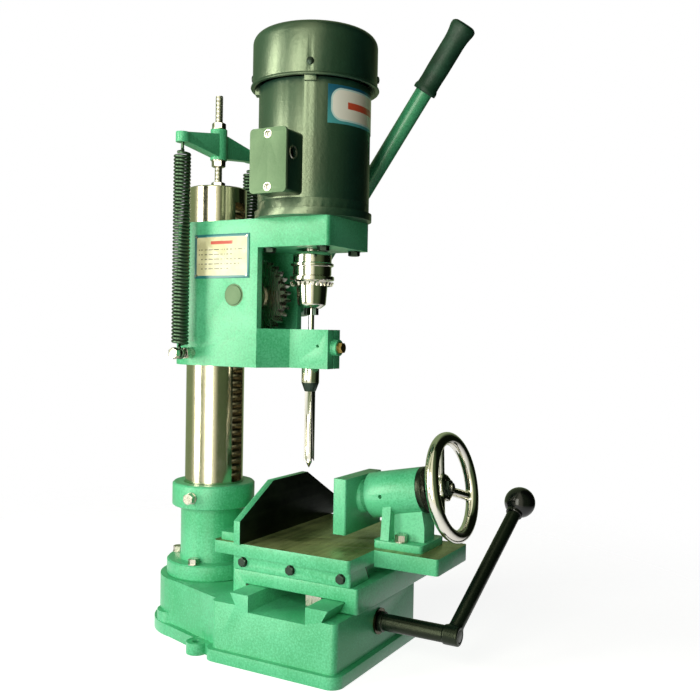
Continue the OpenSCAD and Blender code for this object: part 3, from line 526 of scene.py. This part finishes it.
class Maker(Nodes):
    """A geometry tree with named inputs for its sizes, in metres."""

    def __init__(self, name, sizes):
        super().__init__(bpy.data.node_groups.new(name, "GeometryNodeTree"))
        face = self.tree.interface
        face.new_socket("Geometry", in_out="INPUT", socket_type="NodeSocketGeometry")
        for label, value in sizes.items():
            kind = "NodeSocketInt" if isinstance(value, int) else "NodeSocketFloat"
            face.new_socket(label, in_out="INPUT", socket_type=kind).default_value = value
        face.new_socket("Material", in_out="INPUT", socket_type="NodeSocketMaterial")
        face.new_socket("Geometry", in_out="OUTPUT", socket_type="NodeSocketGeometry")
        self.given = self.tree.nodes.new("NodeGroupInput").outputs
        self.result = self.tree.nodes.new("NodeGroupOutput").inputs

    def join(self, *parts):
        node = self.tree.nodes.new("GeometryNodeJoinGeometry")
        for part in reversed(parts):
            self.tree.links.new(part, node.inputs[0])
        return node.outputs[0]

    def moved(self, geometry, **change):
        return self.add("GeometryNodeTransform", {"Geometry": geometry, **change})

    def cylinder(self, vertices, radius, depth, share):
        """A cylinder on Z, moved along it by a share of its depth."""
        whole = self.add(
            "GeometryNodeMeshCylinder", {"Vertices": vertices, "Radius": radius, "Depth": depth}
        )
        along = self.add("ShaderNodeCombineXYZ", {2: self.math("MULTIPLY", depth, share)})
        return self.moved(whole, Translation=along)

    def washer(self, vertices):
        radius, thickness = self.given["Washer radius"], self.given["Washer thickness"]
        return self.cylinder(vertices, radius, thickness, 0.5)

    def blank(self, vertices, rings):
        """A unit cylinder with this many rings on each end, to be shaped into a head."""
        return self.add(
            "GeometryNodeMeshCylinder",
            {
                "Vertices": vertices, "Side Segments": 1, "Fill Segments": rings,
                "Radius": 1.0, "Depth": 1.0,
            },
            fill_type="TRIANGLE_FAN",
        )

    def head(self, blank, x, y, z, top):
        """The blank with its points moved to x and y, standing on the washer, as high as top."""
        height = self.math("MULTIPLY", self.math("GREATER_THAN", z, 0.0), top)
        height = self.math("ADD", height, self.given["Washer thickness"])
        place = self.add("ShaderNodeCombineXYZ", {0: x, 1: y, 2: height})
        return self.add("GeometryNodeSetPosition", {"Geometry": blank, "Position": place})

    def placed_on_points(self, piece):
        """Copies of piece on the object's own points, its Z along the point's axis attribute."""
        axis = self.add(
            "GeometryNodeInputNamedAttribute", {"Name": "axis"}, data_type="FLOAT_VECTOR"
        )
        turn = self.add("FunctionNodeAlignRotationToVector", {"Vector": axis}, axis="Z")
        dots = self.add("GeometryNodeMeshToPoints", {"Mesh": self.given["Geometry"]})
        return self.add(
            "GeometryNodeInstanceOnPoints", {"Points": dots, "Instance": piece, "Rotation": turn}
        )

    def finish(self, geometry):
        whole = self.add("GeometryNodeRealizeInstances", {"Geometry": geometry})
        dressed = self.add(
            "GeometryNodeSetMaterial", {"Geometry": whole, "Material": self.given["Material"]}
        )
        self.put(self.result[0], dressed)
        return self.tree


def run_tree(obj, tree, finish, sizes):
    """Runs a tree on obj with these sizes, and leaves the result as a plain mesh."""
    modifier = obj.modifiers.new("made by rule", "NODES")
    modifier.node_group = tree
    for item in tree.interface.items_tree:
        if item.item_type == "SOCKET" and item.in_out == "INPUT":
            if item.name in sizes:
                modifier[item.identifier] = sizes[item.name]
            elif item.name == "Material":
                modifier[item.identifier] = look[finish]
    return made_plain(obj)


def hex_head_tree():
    """Hexagon heads or nuts with a turned chamfer, a washer under them and a shank below."""
    g = Maker(
        "hexagon heads",
        {
            "Across flats": 0.013, "Head height": 0.006, "Shank radius": 0.004,
            "Shank length": 0.02, "Washer radius": 0.0095, "Washer thickness": 0.0012,
        },
    )
    x, y, z = g.split(g.add("GeometryNodeInputPosition"))
    reach = g.math("SQRT", g.math("ADD", g.math("MULTIPLY", x, x), g.math("MULTIPLY", y, y)))
    turn = g.math("ARCTAN2", y, x)
    sixth, nudge = math.pi / 3, 1e-4
    off = g.math("FLOORED_MODULO", g.math("ADD", turn, TAU + nudge), sixth)
    off = g.math("SUBTRACT", off, sixth / 2 + nudge)
    half = g.math("MULTIPLY", g.given["Across flats"], 0.5)
    flat = g.math("DIVIDE", half, g.math("COSINE", off))
    face = g.math("MULTIPLY", half, 0.93)
    outer = g.math("GREATER_THAN", reach, 0.75)
    inner = g.math("MULTIPLY", g.math("MULTIPLY", reach, 2.0), face)
    inner = g.math("MULTIPLY", g.math("SUBTRACT", 1.0, outer), inner)
    radius = g.math("ADD", g.math("MULTIPLY", outer, flat), inner)
    past_face = g.math("MAXIMUM", g.math("SUBTRACT", radius, face), 0.0)
    drop = g.math("MULTIPLY", past_face, math.tan(math.radians(30)))
    top = g.math("SUBTRACT", g.given["Head height"], drop)
    across = g.math("MULTIPLY", radius, g.math("COSINE", turn))
    along = g.math("MULTIPLY", radius, g.math("SINE", turn))
    head = g.head(g.blank(48, 2), across, along, z, top)
    shank = g.cylinder(24, g.given["Shank radius"], g.given["Shank length"], -0.5)
    return g.finish(g.placed_on_points(g.join(head, g.washer(40), shank)))


def domed_screw_tree():
    """Domed screw heads with a straight slot, on a thin washer."""
    g = Maker(
        "domed screws",
        {
            "Head radius": 0.004, "Head height": 0.002, "Slot width": 0.001,
            "Slot depth": 0.0011, "Washer radius": 0.0055, "Washer thickness": 0.0006,
        },
    )
    x, y, z = g.split(g.add("GeometryNodeInputPosition"))
    reach = g.math("ADD", g.math("MULTIPLY", x, x), g.math("MULTIPLY", y, y))
    dome = g.math("SUBTRACT", 1.0, g.math("MULTIPLY", reach, 0.55))
    across, along = (g.math("MULTIPLY", side, g.given["Head radius"]) for side in (x, y))
    top = g.math("MULTIPLY", dome, g.given["Head height"])
    head = g.head(g.blank(32, 5), across, along, z, top)
    past_any_head, depth = 0.05, g.math("MULTIPLY", g.given["Slot depth"], 2.0)
    cutter = g.add(
        "GeometryNodeMeshCube",
        {"Size": g.add(
            "ShaderNodeCombineXYZ", {0: past_any_head, 1: g.given["Slot width"], 2: depth}
        )},
    )
    crown = g.math("ADD", g.given["Head height"], g.given["Washer thickness"])
    cutter = g.moved(cutter, Translation=g.add("ShaderNodeCombineXYZ", {2: crown}))
    slotted = g.add("GeometryNodeMeshBoolean", {0: head, 1: cutter}, operation="DIFFERENCE")
    return g.finish(g.placed_on_points(g.join(slotted, g.washer(32))))


def coil_tree(core=False):
    """A wound coil along Z from the origin, with what goes with it.

    That is the wire that the object's own edges draw, and with core a rod inside the coil.
    """
    sizes = {
        "Coil radius": 0.01, "Wire radius": 0.0016, "Length": 0.2, "Turns": 40.0,
        "Steps": 24, "Sides": 10,
    }
    if core:
        sizes["Core radius"] = 0.005
    g = Maker("threaded core" if core else "wound coil", sizes)
    coil = g.add(
        "GeometryNodeCurveSpiral",
        {
            "Resolution": g.given["Steps"], "Rotations": g.given["Turns"],
            "Start Radius": g.given["Coil radius"], "End Radius": g.given["Coil radius"],
            "Height": g.given["Length"],
        },
    )
    ends = g.add("GeometryNodeMeshToCurve", {"Mesh": g.given["Geometry"]})
    ring = g.add(
        "GeometryNodeCurvePrimitiveCircle",
        {"Resolution": g.given["Sides"], "Radius": g.given["Wire radius"]},
    )
    wire = g.add(
        "GeometryNodeCurveToMesh",
        {"Curve": g.join(coil, ends), "Profile Curve": ring, "Fill Caps": True},
    )
    if core:
        wire = g.join(wire, g.cylinder(40, g.given["Core radius"], g.given["Length"], 0.5))
    return g.finish(g.add("GeometryNodeSetShadeSmooth", {"Geometry": wire}))


def ring_of_teeth_tree():
    """Small wedge teeth set round Z, points down."""
    g = Maker(
        "ring of teeth",
        {
            "Count": 36, "Ring radius": 0.026, "Tooth width": 0.0042, "Tooth depth": 0.004,
            "Tooth length": 0.004,
        },
    )
    circle = g.add(
        "GeometryNodeMeshCircle", {"Vertices": g.given["Count"], "Radius": g.given["Ring radius"]}
    )
    wedge = g.add(
        "GeometryNodeMeshCone",
        {"Vertices": 4, "Radius Top": 0.25, "Radius Bottom": 0.7072, "Depth": 1.0},
    )
    wedge = g.moved(wedge, Rotation=(math.pi, 0.0, math.pi / 4))
    sides = ("Tooth length", "Tooth width", "Tooth depth")
    size = g.add("ShaderNodeCombineXYZ", {k: g.given[side] for k, side in enumerate(sides)})
    wedge = g.moved(wedge, Scale=size)
    place = g.add("GeometryNodeInputPosition")
    turn = g.add("FunctionNodeAlignRotationToVector", {"Vector": place}, axis="X")
    teeth = g.add(
        "GeometryNodeInstanceOnPoints", {"Points": circle, "Instance": wedge, "Rotation": turn}
    )
    return g.finish(g.join(g.given["Geometry"], teeth))


hex_heads = hex_head_tree()
domed_screws = domed_screw_tree()
wound_coil = coil_tree()
threaded_core = coil_tree(core=True)
tooth_ring = ring_of_teeth_tree()


def points_object(name, places):
    """An object of loose points at (place, axis) pairs, places in millimetres."""
    mesh = bpy.data.meshes.new(name)
    mesh.from_pydata([Vector(p) * MM for p, _ in places], [], [])
    axis = mesh.attributes.new("axis", "FLOAT_VECTOR", "POINT")
    for k, (_, direction) in enumerate(places):
        axis.data[k].vector = Vector(direction).normalized()
    return new_object(name, mesh)


def fasteners(name, tree, places, body, slot, nodes, finish=None, **sizes):
    """Screws or bolts of one kind. Sizes are given in millimetres."""
    obj = points_object(name, places)
    given = {key.replace("_", " ").capitalize(): value * MM for key, value in sizes.items()}
    run_tree(obj, tree, finish or slot, given)
    smooth(obj.data, 28)
    return settle(obj, body, slot, *nodes)


# ------------------------------------------------ frame: base, column, yoke, springs

rounded("base_casting_cast", ["base_casting"], "frame", "green_paint", 2.2)
rounded("column_socket_cast", ["column_socket"], "frame", "green_paint", 1.6)
rounded("spring_yoke_cast", ["spring_yoke"], "frame", "green_paint", 2.4, segments=4)

fasteners(
    "socket_bolt_heads", hex_heads,
    [
        ((SOCKET_BOLT_REACH * math.cos(a), SOCKET_BOLT_REACH * math.sin(a), SOCKET_FLANGE_TOP),
         (0, 0, 1))
        for a in map(math.radians, SOCKET_BOLT_DEGREES)
    ],
    "frame", "bright_steel", ["socket_bolts"],
    across_flats=12, head_height=6.6, shank_radius=4, shank_length=38, washer_radius=7.2,
    washer_thickness=1.2,
)
lock_turn = math.radians(LOCK_BOLT_DEGREES)
lock_way = Vector((math.cos(lock_turn), math.sin(lock_turn), 0))
fasteners(
    "socket_lock_bolt_head", hex_heads,
    [(LOCK_BOLT_REACH * lock_way + Vector((0, 0, LOCK_BOLT_Z)), lock_way)],
    "frame", "bright_steel", ["socket_lock_bolt"],
    across_flats=13, head_height=9, shank_radius=4, shank_length=14, washer_radius=7.4,
    washer_thickness=1.4,
)
fasteners(
    "yoke_stud_nuts", hex_heads,
    [
        ((0, 0, COLUMN_TOP), (0, 0, 1)),
        ((0, 0, YOKE_UNDERSIDE), (0, 0, -1)),
        ((0, 0, YOKE_UPPER_SIDE), (0, 0, 1)),
    ],
    "frame", "bright_steel", ["yoke_nuts"],
    across_flats=16, head_height=7.6, shank_radius=4.9, shank_length=1, washer_radius=9.6,
    washer_thickness=1.4,
)


def threaded_rod(name, radius, pitch, length, foot, body, slot, node):
    """A rod with a wound thread from its foot upward, all in millimetres."""
    obj = new_object(name, bpy.data.meshes.new(name))
    thread = 0.55
    run_tree(
        obj, threaded_core, slot,
        {
            "Coil radius": (radius - thread) * MM, "Wire radius": thread * MM,
            "Length": length * MM, "Turns": length / pitch, "Steps": 16, "Sides": 5,
            "Core radius": (radius - 0.5) * MM,
        },
    )
    obj.data.transform(at(*foot))
    smooth(obj.data, 40)
    return settle(obj, body, slot, node)


def smooth_path(points, steps=8):
    """A rounded path through the given points."""
    out = []
    ends = [points[0]] + points + [points[-1]]
    for a, b, c, d in zip(ends, ends[1:], ends[2:], ends[3:]):
        a, b, c, d = map(Vector, (a, b, c, d))
        for k in range(steps):
            t = k / steps
            slope, bend = (c - a) * t, (2 * a - 5 * b + 4 * c - d) * t * t
            out.append(0.5 * (2 * b + slope + bend + (3 * b - a - 3 * c + d) * t ** 3))
    return out + [Vector(points[-1])]


def return_spring(name, side, node):
    """A wound spring with a straight upper end in the yoke and a loop round its anchor bolt."""
    length = SPRING_TOP - SPRING_FOOT
    wire, coil = 2.0, 8.95
    turns = 53.5
    up = [(-coil, 0, length), (-coil * 0.55, -coil * 0.5, length + 2.2)]
    up += [(0, 0, length + rise) for rise in (5.5, 10, 15)]
    eye_z, eye = ANCHOR_Z - SPRING_FOOT, 6.1
    loop = [
        (0, eye * math.sin(a), eye_z + eye * math.cos(a))
        for a in (math.radians(d) for d in range(0, 331, 30))
    ]
    down = [(coil, 0, 0), (coil * 0.6, coil * 0.5, -1.6), (1.5, 2.5, -3.6)] + loop
    places, edges = [], []
    for path in (smooth_path(up), smooth_path(down, 5)):
        start = len(places)
        places += [p * MM for p in path]
        edges += [(start + k, start + k + 1) for k in range(len(path) - 1)]
    mesh = bpy.data.meshes.new(name)
    mesh.from_pydata(places, edges, [])
    obj = new_object(name, mesh)
    run_tree(
        obj, wound_coil, "spring_wire",
        {
            "Coil radius": coil * MM, "Wire radius": wire * MM, "Length": length * MM,
            "Turns": turns, "Steps": 22, "Sides": 8,
        },
    )
    obj.data.transform(at(side * SPRING_X, 0, SPRING_FOOT))
    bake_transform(obj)
    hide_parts(node)


threaded_rod(
    "yoke_stud_thread", 5, 1.5, 122, (0, 0, COLUMN_TOP), "frame", "bright_steel", "yoke_stud"
)
return_spring("return_spring_left_coil", -1, "return_spring_left")
return_spring("return_spring_right_coil", 1, "return_spring_right")

# ------------------------------------------------ crank

rounded("crank_shaft_bar", ["crank_shaft"], "crank", "black_enamel", 0.8)
forged("crank_arm_forging", ["crank_arm"], "crank", "black_enamel", 1.1, 8, 0.35)
seat = CRANK_LENGTH - 20.6
ball = [(8.4, seat), (10.0, seat), (10.6, seat + 0.9), (10.4, seat + 3.2)]
ball += [
    (KNOB_R * math.sin(a), CRANK_LENGTH - KNOB_R * math.cos(a))
    for a in (math.radians(d) for d in range(33, 180, 6))
]
turned(
    "crank_knob_ball", ball + [(0, CRANK_LENGTH + KNOB_R)], "crank", "black_plastic",
    CRANK @ Matrix.Rotation(math.pi / 2, 4, "Y"), ["crank_knob"], steps=64,
)

# ------------------------------------------------ saddle and table


def table_faces(normal, centre):
    if normal.z > 0.99 and centre.z > TABLE_Z - 0.5:
        return "table_iron"


# The fence's front face takes the dark iron finish, whose darkness is painted shade
def fence_faces(normal, centre):
    if normal.y < -0.99 and centre.y < -100:
        return "fence_face_painted_shade"


def jaw_faces(normal, centre):
    if normal.y > 0.99 and centre.y > -193:
        return "slide_iron"


rounded("saddle_cast", ["saddle"], "saddle", "green_paint", 1.2)
rounded("table_top_cast", ["table_top"], "table", "green_paint", 1.2, faces=table_faces)
rounded("fence_cast", ["fence"], "table", "green_paint", 1.2, faces=fence_faces)
rounded("vise_bracket_cast", ["vise_bracket"], "table", "green_paint", 1.6)
rounded("vise_end_cap_disc", ["vise_end_cap"], "table", "black_enamel", 1.0)
fasteners(
    "gib_screw_nuts", hex_heads, [((-68, y, 110), (-1, 0, 0)) for y in (-99, -167, -235)],
    "table", "black_oxide", ["table_gib_screws"],
    across_flats=10, head_height=3.4, shank_radius=3, shank_length=9, washer_radius=6,
    washer_thickness=0.8,
)
fasteners(
    "fence_bolt_heads", hex_heads, [((TABLE_X + x, -75, 143), (0, 0, 1)) for x in (-70, 70)],
    "table", "bright_steel", ["fence_bolts"],
    across_flats=13, head_height=5.2, shank_radius=4, shank_length=20, washer_radius=8.4,
    washer_thickness=1.3,
)
fasteners(
    "bracket_bolt_heads", hex_heads, [((TABLE_X + x, -273, 142), (0, 0, 1)) for x in (-24, 24)],
    "table", "bright_steel", ["bracket_bolts"],
    across_flats=13, head_height=7.6, shank_radius=4, shank_length=22, washer_radius=8.2,
    washer_thickness=1.3,
)

# ------------------------------------------------ clamp

rounded("vise_jaw_cast", ["vise_jaw"], "vise_jaw", "green_paint", 1.3, faces=jaw_faces)
forged(
    "handwheel_casting", ["handwheel"], "handwheel", "polished_steel", 1.2, 10, 0.75,
    finish="chrome",
)
wheel_axis = CLAMP.to_3x3() @ Vector((0, -1, 0))
fasteners(
    "handwheel_hub_nut", hex_heads, [(CLAMP @ Vector((0, 6.5 * MM, 0)) / MM, wheel_axis)],
    "handwheel", "black_enamel", ["handwheel_nut"], finish="black_oxide",
    across_flats=16, head_height=4.3, shank_radius=5, shank_length=2, washer_radius=9.6,
    washer_thickness=1.0,
)

# ------------------------------------------------ head and motor

def plug_faces(normal, centre):
    if centre.x < -50:
        return "cover_grey"


def plate_faces(normal, centre):
    if centre.x < -52.1:
        return "bright_steel"


def chisel_faces(normal, centre):
    if 315 < centre.z < 326.5 and normal.z < -0.1:
        return "black_oxide"


rounded("head_casting_cast", ["head_casting"], "head", "green_paint", 1.8)
rounded("spring_anchor_bolts", ["spring_anchors"], "head", "bright_steel", 0.6)
rounded("feed_bush_plugs", ["feed_bushes"], "head", "bronze", 0.5, faces=plug_faces)
rounded(
    "name_plate_print", ["name_plate"], "head", "plate_print", 0.25, segments=2,
    faces=plate_faces,
)
rounded(
    "mortise_chisel_ground", ["mortise_chisel"], "head", "polished_steel", 0.35,
    finish="chrome", segments=2, faces=chisel_faces,
)
fasteners(
    "chisel_clamp_bolt_head", hex_heads, [((0, -189, 371), (0, -1, 0))], "head", "zinc_steel",
    ["chisel_clamp_bolt"],
    across_flats=12, head_height=4.8, shank_radius=3.5, shank_length=28, washer_radius=7.2,
    washer_thickness=1.2,
)
rounded("motor_end_bell_cast", ["motor_end_bell"], "head", "motor_paint", 1.5)
rounded("motor_frame_cast", ["motor_frame"], "head", "motor_paint", 1.0)
rounded("motor_cowl_pressing", ["motor_cowl"], "head", "motor_paint", 0.6, segments=2)
turned(
    "motor_cowl_bead",
    [
        (75.5, 690.4), (77.6, 690.2), (79.0, 689.2), (79.4, 687.9), (78.8, 686.8), (77.2, 686.3),
        (75.5, 686.6), (75.5, 690.4),
    ],
    "head", "motor_paint", at(0, CHISEL_Y, 0),
)
fasteners(
    "cowl_screw_heads", domed_screws,
    [
        ((COWL_R * math.cos(a), CHISEL_Y + COWL_R * math.sin(a), COWL_SCREW_Z),
         (math.cos(a), math.sin(a), 0))
        for a in map(math.radians, COWL_SCREW_DEGREES)
    ],
    "head", "bright_steel", ["cowl_screws"], finish="black_oxide",
    head_radius=4.2, head_height=2.0, slot_width=1.0, slot_depth=0.9, washer_radius=4.5,
    washer_thickness=0.4,
)
rounded("terminal_box_cast", ["terminal_box"], "head", "motor_paint", 1.6)
rounded("terminal_cover_cast", ["terminal_cover"], "head", "cover_grey", 1.3)
turned(
    "cable_entry_ring",
    [(6.05, 0), (7.6, 0), (7.9, 0.5), (7.4, 1.1), (6.6, 1.3), (6.05, 0.9), (6.05, 0)],
    "head", "bright_steel", at(-85, -172, 595) @ Matrix.Rotation(math.pi / 2, 4, "X"),
)
fasteners(
    "terminal_screw_heads", domed_screws,
    [((-101, CHISEL_Y, TERMINAL_Z + z), (-1, 0, 0)) for z in (-30, 30)],
    "head", "bright_steel", ["terminal_screws"],
    head_radius=3.6, head_height=1.6, slot_width=0.9, slot_depth=0.9, washer_radius=4.9,
    washer_thickness=0.5,
)
sides = (-MOTOR_BOLT_OUT, MOTOR_BOLT_OUT)
fasteners(
    "motor_bolt_heads", hex_heads,
    [((x, CHISEL_Y + y, MOTOR_PLATE_UNDERSIDE), (0, 0, -1)) for x in sides for y in sides],
    "head", "bright_steel", ["motor_bolts"], finish="black_oxide",
    across_flats=13, head_height=5.0, shank_radius=4, shank_length=40, washer_radius=8,
    washer_thickness=1.0,
)


def sticker(name, radius, first, last, low, high, body, slot, node):
    """A thin film wrapped round the motor, with its own map in metres along and up.

    It runs from first to last in degrees, and from low to high.
    """
    bm = bmesh.new()
    flat = bm.loops.layers.uv.new("along")
    steps = 48
    columns = []
    for k in range(steps + 1):
        a = math.radians(first + (last - first) * k / steps)
        x, y = radius * MM * math.cos(a), (CHISEL_Y + radius * math.sin(a)) * MM
        columns.append([bm.verts.new((x, y, z * MM)) for z in (low, high)])
    arc = math.radians(last - first) * radius * MM
    for k in range(steps):
        left, right = columns[k], columns[k + 1]
        face = bm.faces.new((left[0], right[0], right[1], left[1]))
        for loop, (u, v) in zip(face.loops, ((k, 0), (k + 1, 0), (k + 1, 1), (k, 1))):
            loop[flat].uv = (arc * u / steps, (high - low) * MM * v)
    obj = new_object(name, mesh_of(name, bm, slot))
    film = obj.modifiers.new("film", "SOLIDIFY")
    film.thickness = 0.0004
    film.offset = -1
    made_plain(obj)
    smooth(obj.data)
    settle(obj, body, slot, node)


sticker("motor_sticker_film", 69.6, 224, 320, 634, 679, "head", "label_film", "motor_label")

# ------------------------------------------------ spindle and chuck

turned(
    "chuck_body_turned",
    [
        (10.2, 489), (20.5, 489), (22.6, 488.2), (23.8, 486.4), (24, 484), (24, 475.6),
        (25.6, 475), (26.7, 474.2), (26.7, 471.8), (25.6, 471), (24, 470.4), (24, 461),
        (23.4, 459.4), (18.2, 459.2), (18.2, 451.2), (10.2, 451.2), (10.2, 489),
    ],
    "spindle", "polished_steel", at(0, CHISEL_Y, 0), ["chuck_body"], "chrome",
)
turned(
    "chuck_sleeve_turned",
    [
        (18.3, 459), (26.2, 459), (27.2, 458.4), (27.5, 457.4), (27.5, 454.3), (26.8, 453.7),
        (23, 453.3), (20.4, 452), (19.5, 449.2), (19.3, 446), (18.6, 436), (17.7, 424.6),
        (17.2, 423.4), (12.2, 419.8), (11, 419.2), (9.2, 419.2), (9.2, 451), (18.3, 451),
        (18.3, 459),
    ],
    "spindle", "bright_steel", at(0, CHISEL_Y, 0), ["chuck_sleeve"], "chrome",
)
sleeve_teeth = run_tree(
    new_object("chuck_teeth", bpy.data.meshes.new("chuck_teeth")), tooth_ring, "chrome",
    {
        "Count": 27, "Ring radius": 24.4 * MM, "Tooth width": 4.3 * MM,
        "Tooth depth": 4.7 * MM, "Tooth length": 5.8 * MM,
    },
)
sleeve_teeth.data.transform(at(0, CHISEL_Y, 451.4))
settle(sleeve_teeth, "spindle", "bright_steel")

# ------------------------------------------------ feed

forged(
    "feed_lever_weld", ["feed_lever"], "feed", "green_paint", 1.3, 6, 0.3, finish="green_smooth"
)
turned(
    "lever_grip_rubber",
    [
        (11.1, 323), (14.8, 323), (15.4, 324), (15.5, 327.5), (14.9, 329.5), (13.9, 331.5),
        (13.7, 340), (14.1, 356), (14.1, 378), (14.0, 392), (14.4, 399), (15.2, 404.5),
        (16.2, 409), (16.5, 412), (16.1, 415), (14.2, 416.9), (12.0, LEVER_LENGTH),
        (0, LEVER_LENGTH),
    ],
    "feed", "grip_rubber", LEVER, ["lever_grip"],
)

# ------------------------------------------------ nodes that stay as the frame has them

kept = {
    "column_steel": ["column"],
    "bright_steel": [
        "column_rack", "crank_pinion", "table_rack", "vise_screw", "rotor_shaft", "feed_shaft",
        "feed_pinion",
    ],
    # The crank bushes take the bronze darkened as painted shade
    "bronze_painted_shade": ["crank_bushes"],
    "slide_iron": ["saddle_gib", "table_gib"],
    "green_smooth": ["vise_quill"],
    "black_oxide": ["jaw_screw", "chuck_jaws"],
    "core_iron": ["stator_core"],
    "black_plastic": ["cooling_fan"],
    "chrome": ["auger_bit"],
}
for finish, nodes in kept.items():
    for node in nodes:
        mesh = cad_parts[node].data
        mesh.materials.clear()
        mesh.materials.append(look[finish])

# ------------------------------------------------ floor, light and camera


def floor_finish():
    """Pale floor that keeps a soft shadow near the machine and fades into the white beyond."""
    material = bpy.data.materials.new("pale floor")
    material.use_nodes = True
    n = Nodes(material.node_tree)
    n.tree.nodes.clear()
    path = n.tree.nodes.new("ShaderNodeLightPath").outputs
    bounced = n.math("MAXIMUM", path["Is Glossy Ray"], path["Is Transmission Ray"])
    seen = n.math("MAXIMUM", path["Is Camera Ray"], bounced)
    matte = n.add("ShaderNodeBsdfDiffuse", {"Color": (0.5, 0.5, 0.49, 1)})
    strength = n.math("MULTIPLY", seen, 0.86)
    glow = n.add("ShaderNodeEmission", {"Color": (1, 1, 1, 1), "Strength": strength})
    lit = n.add("ShaderNodeAddShader", {0: matte, 1: glow})
    away = n.vector("LENGTH", n.add("ShaderNodeTexCoord", out=3), out=1)
    fade = n.math("MULTIPLY", n.ramp(away, 0.35, 1.1), seen)
    clear = n.add("ShaderNodeBsdfTransparent")
    mixed = n.add("ShaderNodeMixShader", {0: fade, 1: lit, 2: clear})
    out = n.tree.nodes.new("ShaderNodeOutputMaterial")
    n.put(out.inputs["Surface"], mixed)
    return material


floor_mesh = lathe_mesh("floor", [(0, -0.3), (3000, -0.3)], 64)
floor_mesh.materials.append(floor_finish())
floor = new_object("floor", floor_mesh)


def studio():
    """White behind the machine for the eye, and a plain room in its reflections.

    The room has two windows on the left, dim walls, and is dark on the right.
    """
    world = bpy.data.worlds.new("studio")
    bpy.context.scene.world = world
    world.use_nodes = True
    n = Nodes(world.node_tree)
    n.tree.nodes.clear()
    path = n.tree.nodes.new("ShaderNodeLightPath").outputs
    x, y, _ = n.split(n.add("ShaderNodeTexCoord", out=0))
    round_left = n.math("ARCTAN2", x, y)
    ramp = n.tree.nodes.new("ShaderNodeValToRGB")
    n.put(ramp.inputs[0], n.ramp(round_left, -math.pi, math.pi, smooth=False))
    # First and last degree, clockwise from +Y, and brightness
    walls = (
        (-180, -180, 0.08), (-165, -138, 0.14), (-122, -86, 1.1), (-72, -64, 0.25),
        (-55, -45, 1.0), (-25, 75, 0.35), (105, 160, 0.005), (180, 180, 0.08),
    )
    edges = [(edge, level) for first, last, level in walls for edge in sorted({first, last})]
    while len(ramp.color_ramp.elements) < len(edges):
        ramp.color_ramp.elements.new(0.5)
    for element, (edge, level) in zip(ramp.color_ramp.elements, edges):
        element.position = edge / 360 + 0.5
        cream = min(level, 1.0)
        element.color = (level * (0.62 + 0.38 * cream), level, level * (0.42 + 0.32 * cream), 1)
    room = ramp.outputs[0]
    seen = n.math("MAXIMUM", path["Is Camera Ray"], path["Is Transmission Ray"])
    soft = n.blend(path["Is Glossy Ray"], (0.1, 0.105, 0.1, 1), room)
    colour = n.blend(seen, soft, (1, 1, 1, 1))
    out = n.tree.nodes.new("ShaderNodeOutputWorld")
    n.put(out.inputs["Surface"], n.add("ShaderNodeBackground", {"Color": colour, "Strength": 1.0}))


def softbox(name, place, target, size, power):
    lamp = bpy.data.lights.new(name, "AREA")
    lamp.shape = "RECTANGLE"
    lamp.size, lamp.size_y = size
    lamp.energy = power
    lamp.color = (1.0, 1.0, 0.88)
    obj = new_object(name, lamp)
    obj.location = place
    obj.rotation_euler = (Vector(target) - Vector(place)).to_track_quat("-Z", "Y").to_euler()
    obj.visible_camera = False


studio()
softbox("softbox_left_rear", (-1.1, 0.72, 0.56), (0, -0.1, 0.56), (0.5, 1.1), 15.5)
softbox("softbox_left", (-1.06, -0.28, 0.5), (0, -0.1, 0.5), (0.5, 1.0), 8)

EYE = Vector((-0.92733, -0.71864, 0.39225))
YAW, PITCH, ROLL = 1.064, -0.022, 0.018
FOCUS_PX, FRAME_PX, SENSOR_MM = 873.118, 700, 36


def camera():
    ahead = Vector(
        (math.sin(YAW) * math.cos(PITCH), math.cos(YAW) * math.cos(PITCH), math.sin(PITCH))
    )
    right = Vector((math.cos(YAW), -math.sin(YAW), 0))
    up = right.cross(ahead)
    across = math.cos(ROLL) * right + math.sin(ROLL) * up
    above = -math.sin(ROLL) * right + math.cos(ROLL) * up
    eye = bpy.data.cameras.new("camera")
    eye.sensor_width = SENSOR_MM
    eye.lens = FOCUS_PX * SENSOR_MM / FRAME_PX
    eye.clip_start = 0.01
    obj = new_object("camera", eye)
    turn = Matrix((across, above, -ahead)).transposed().to_4x4()
    obj.matrix_world = Matrix.Translation(EYE) @ turn
    bpy.context.scene.camera = obj


camera()
bpy.context.scene.view_settings.view_transform = "Standard"
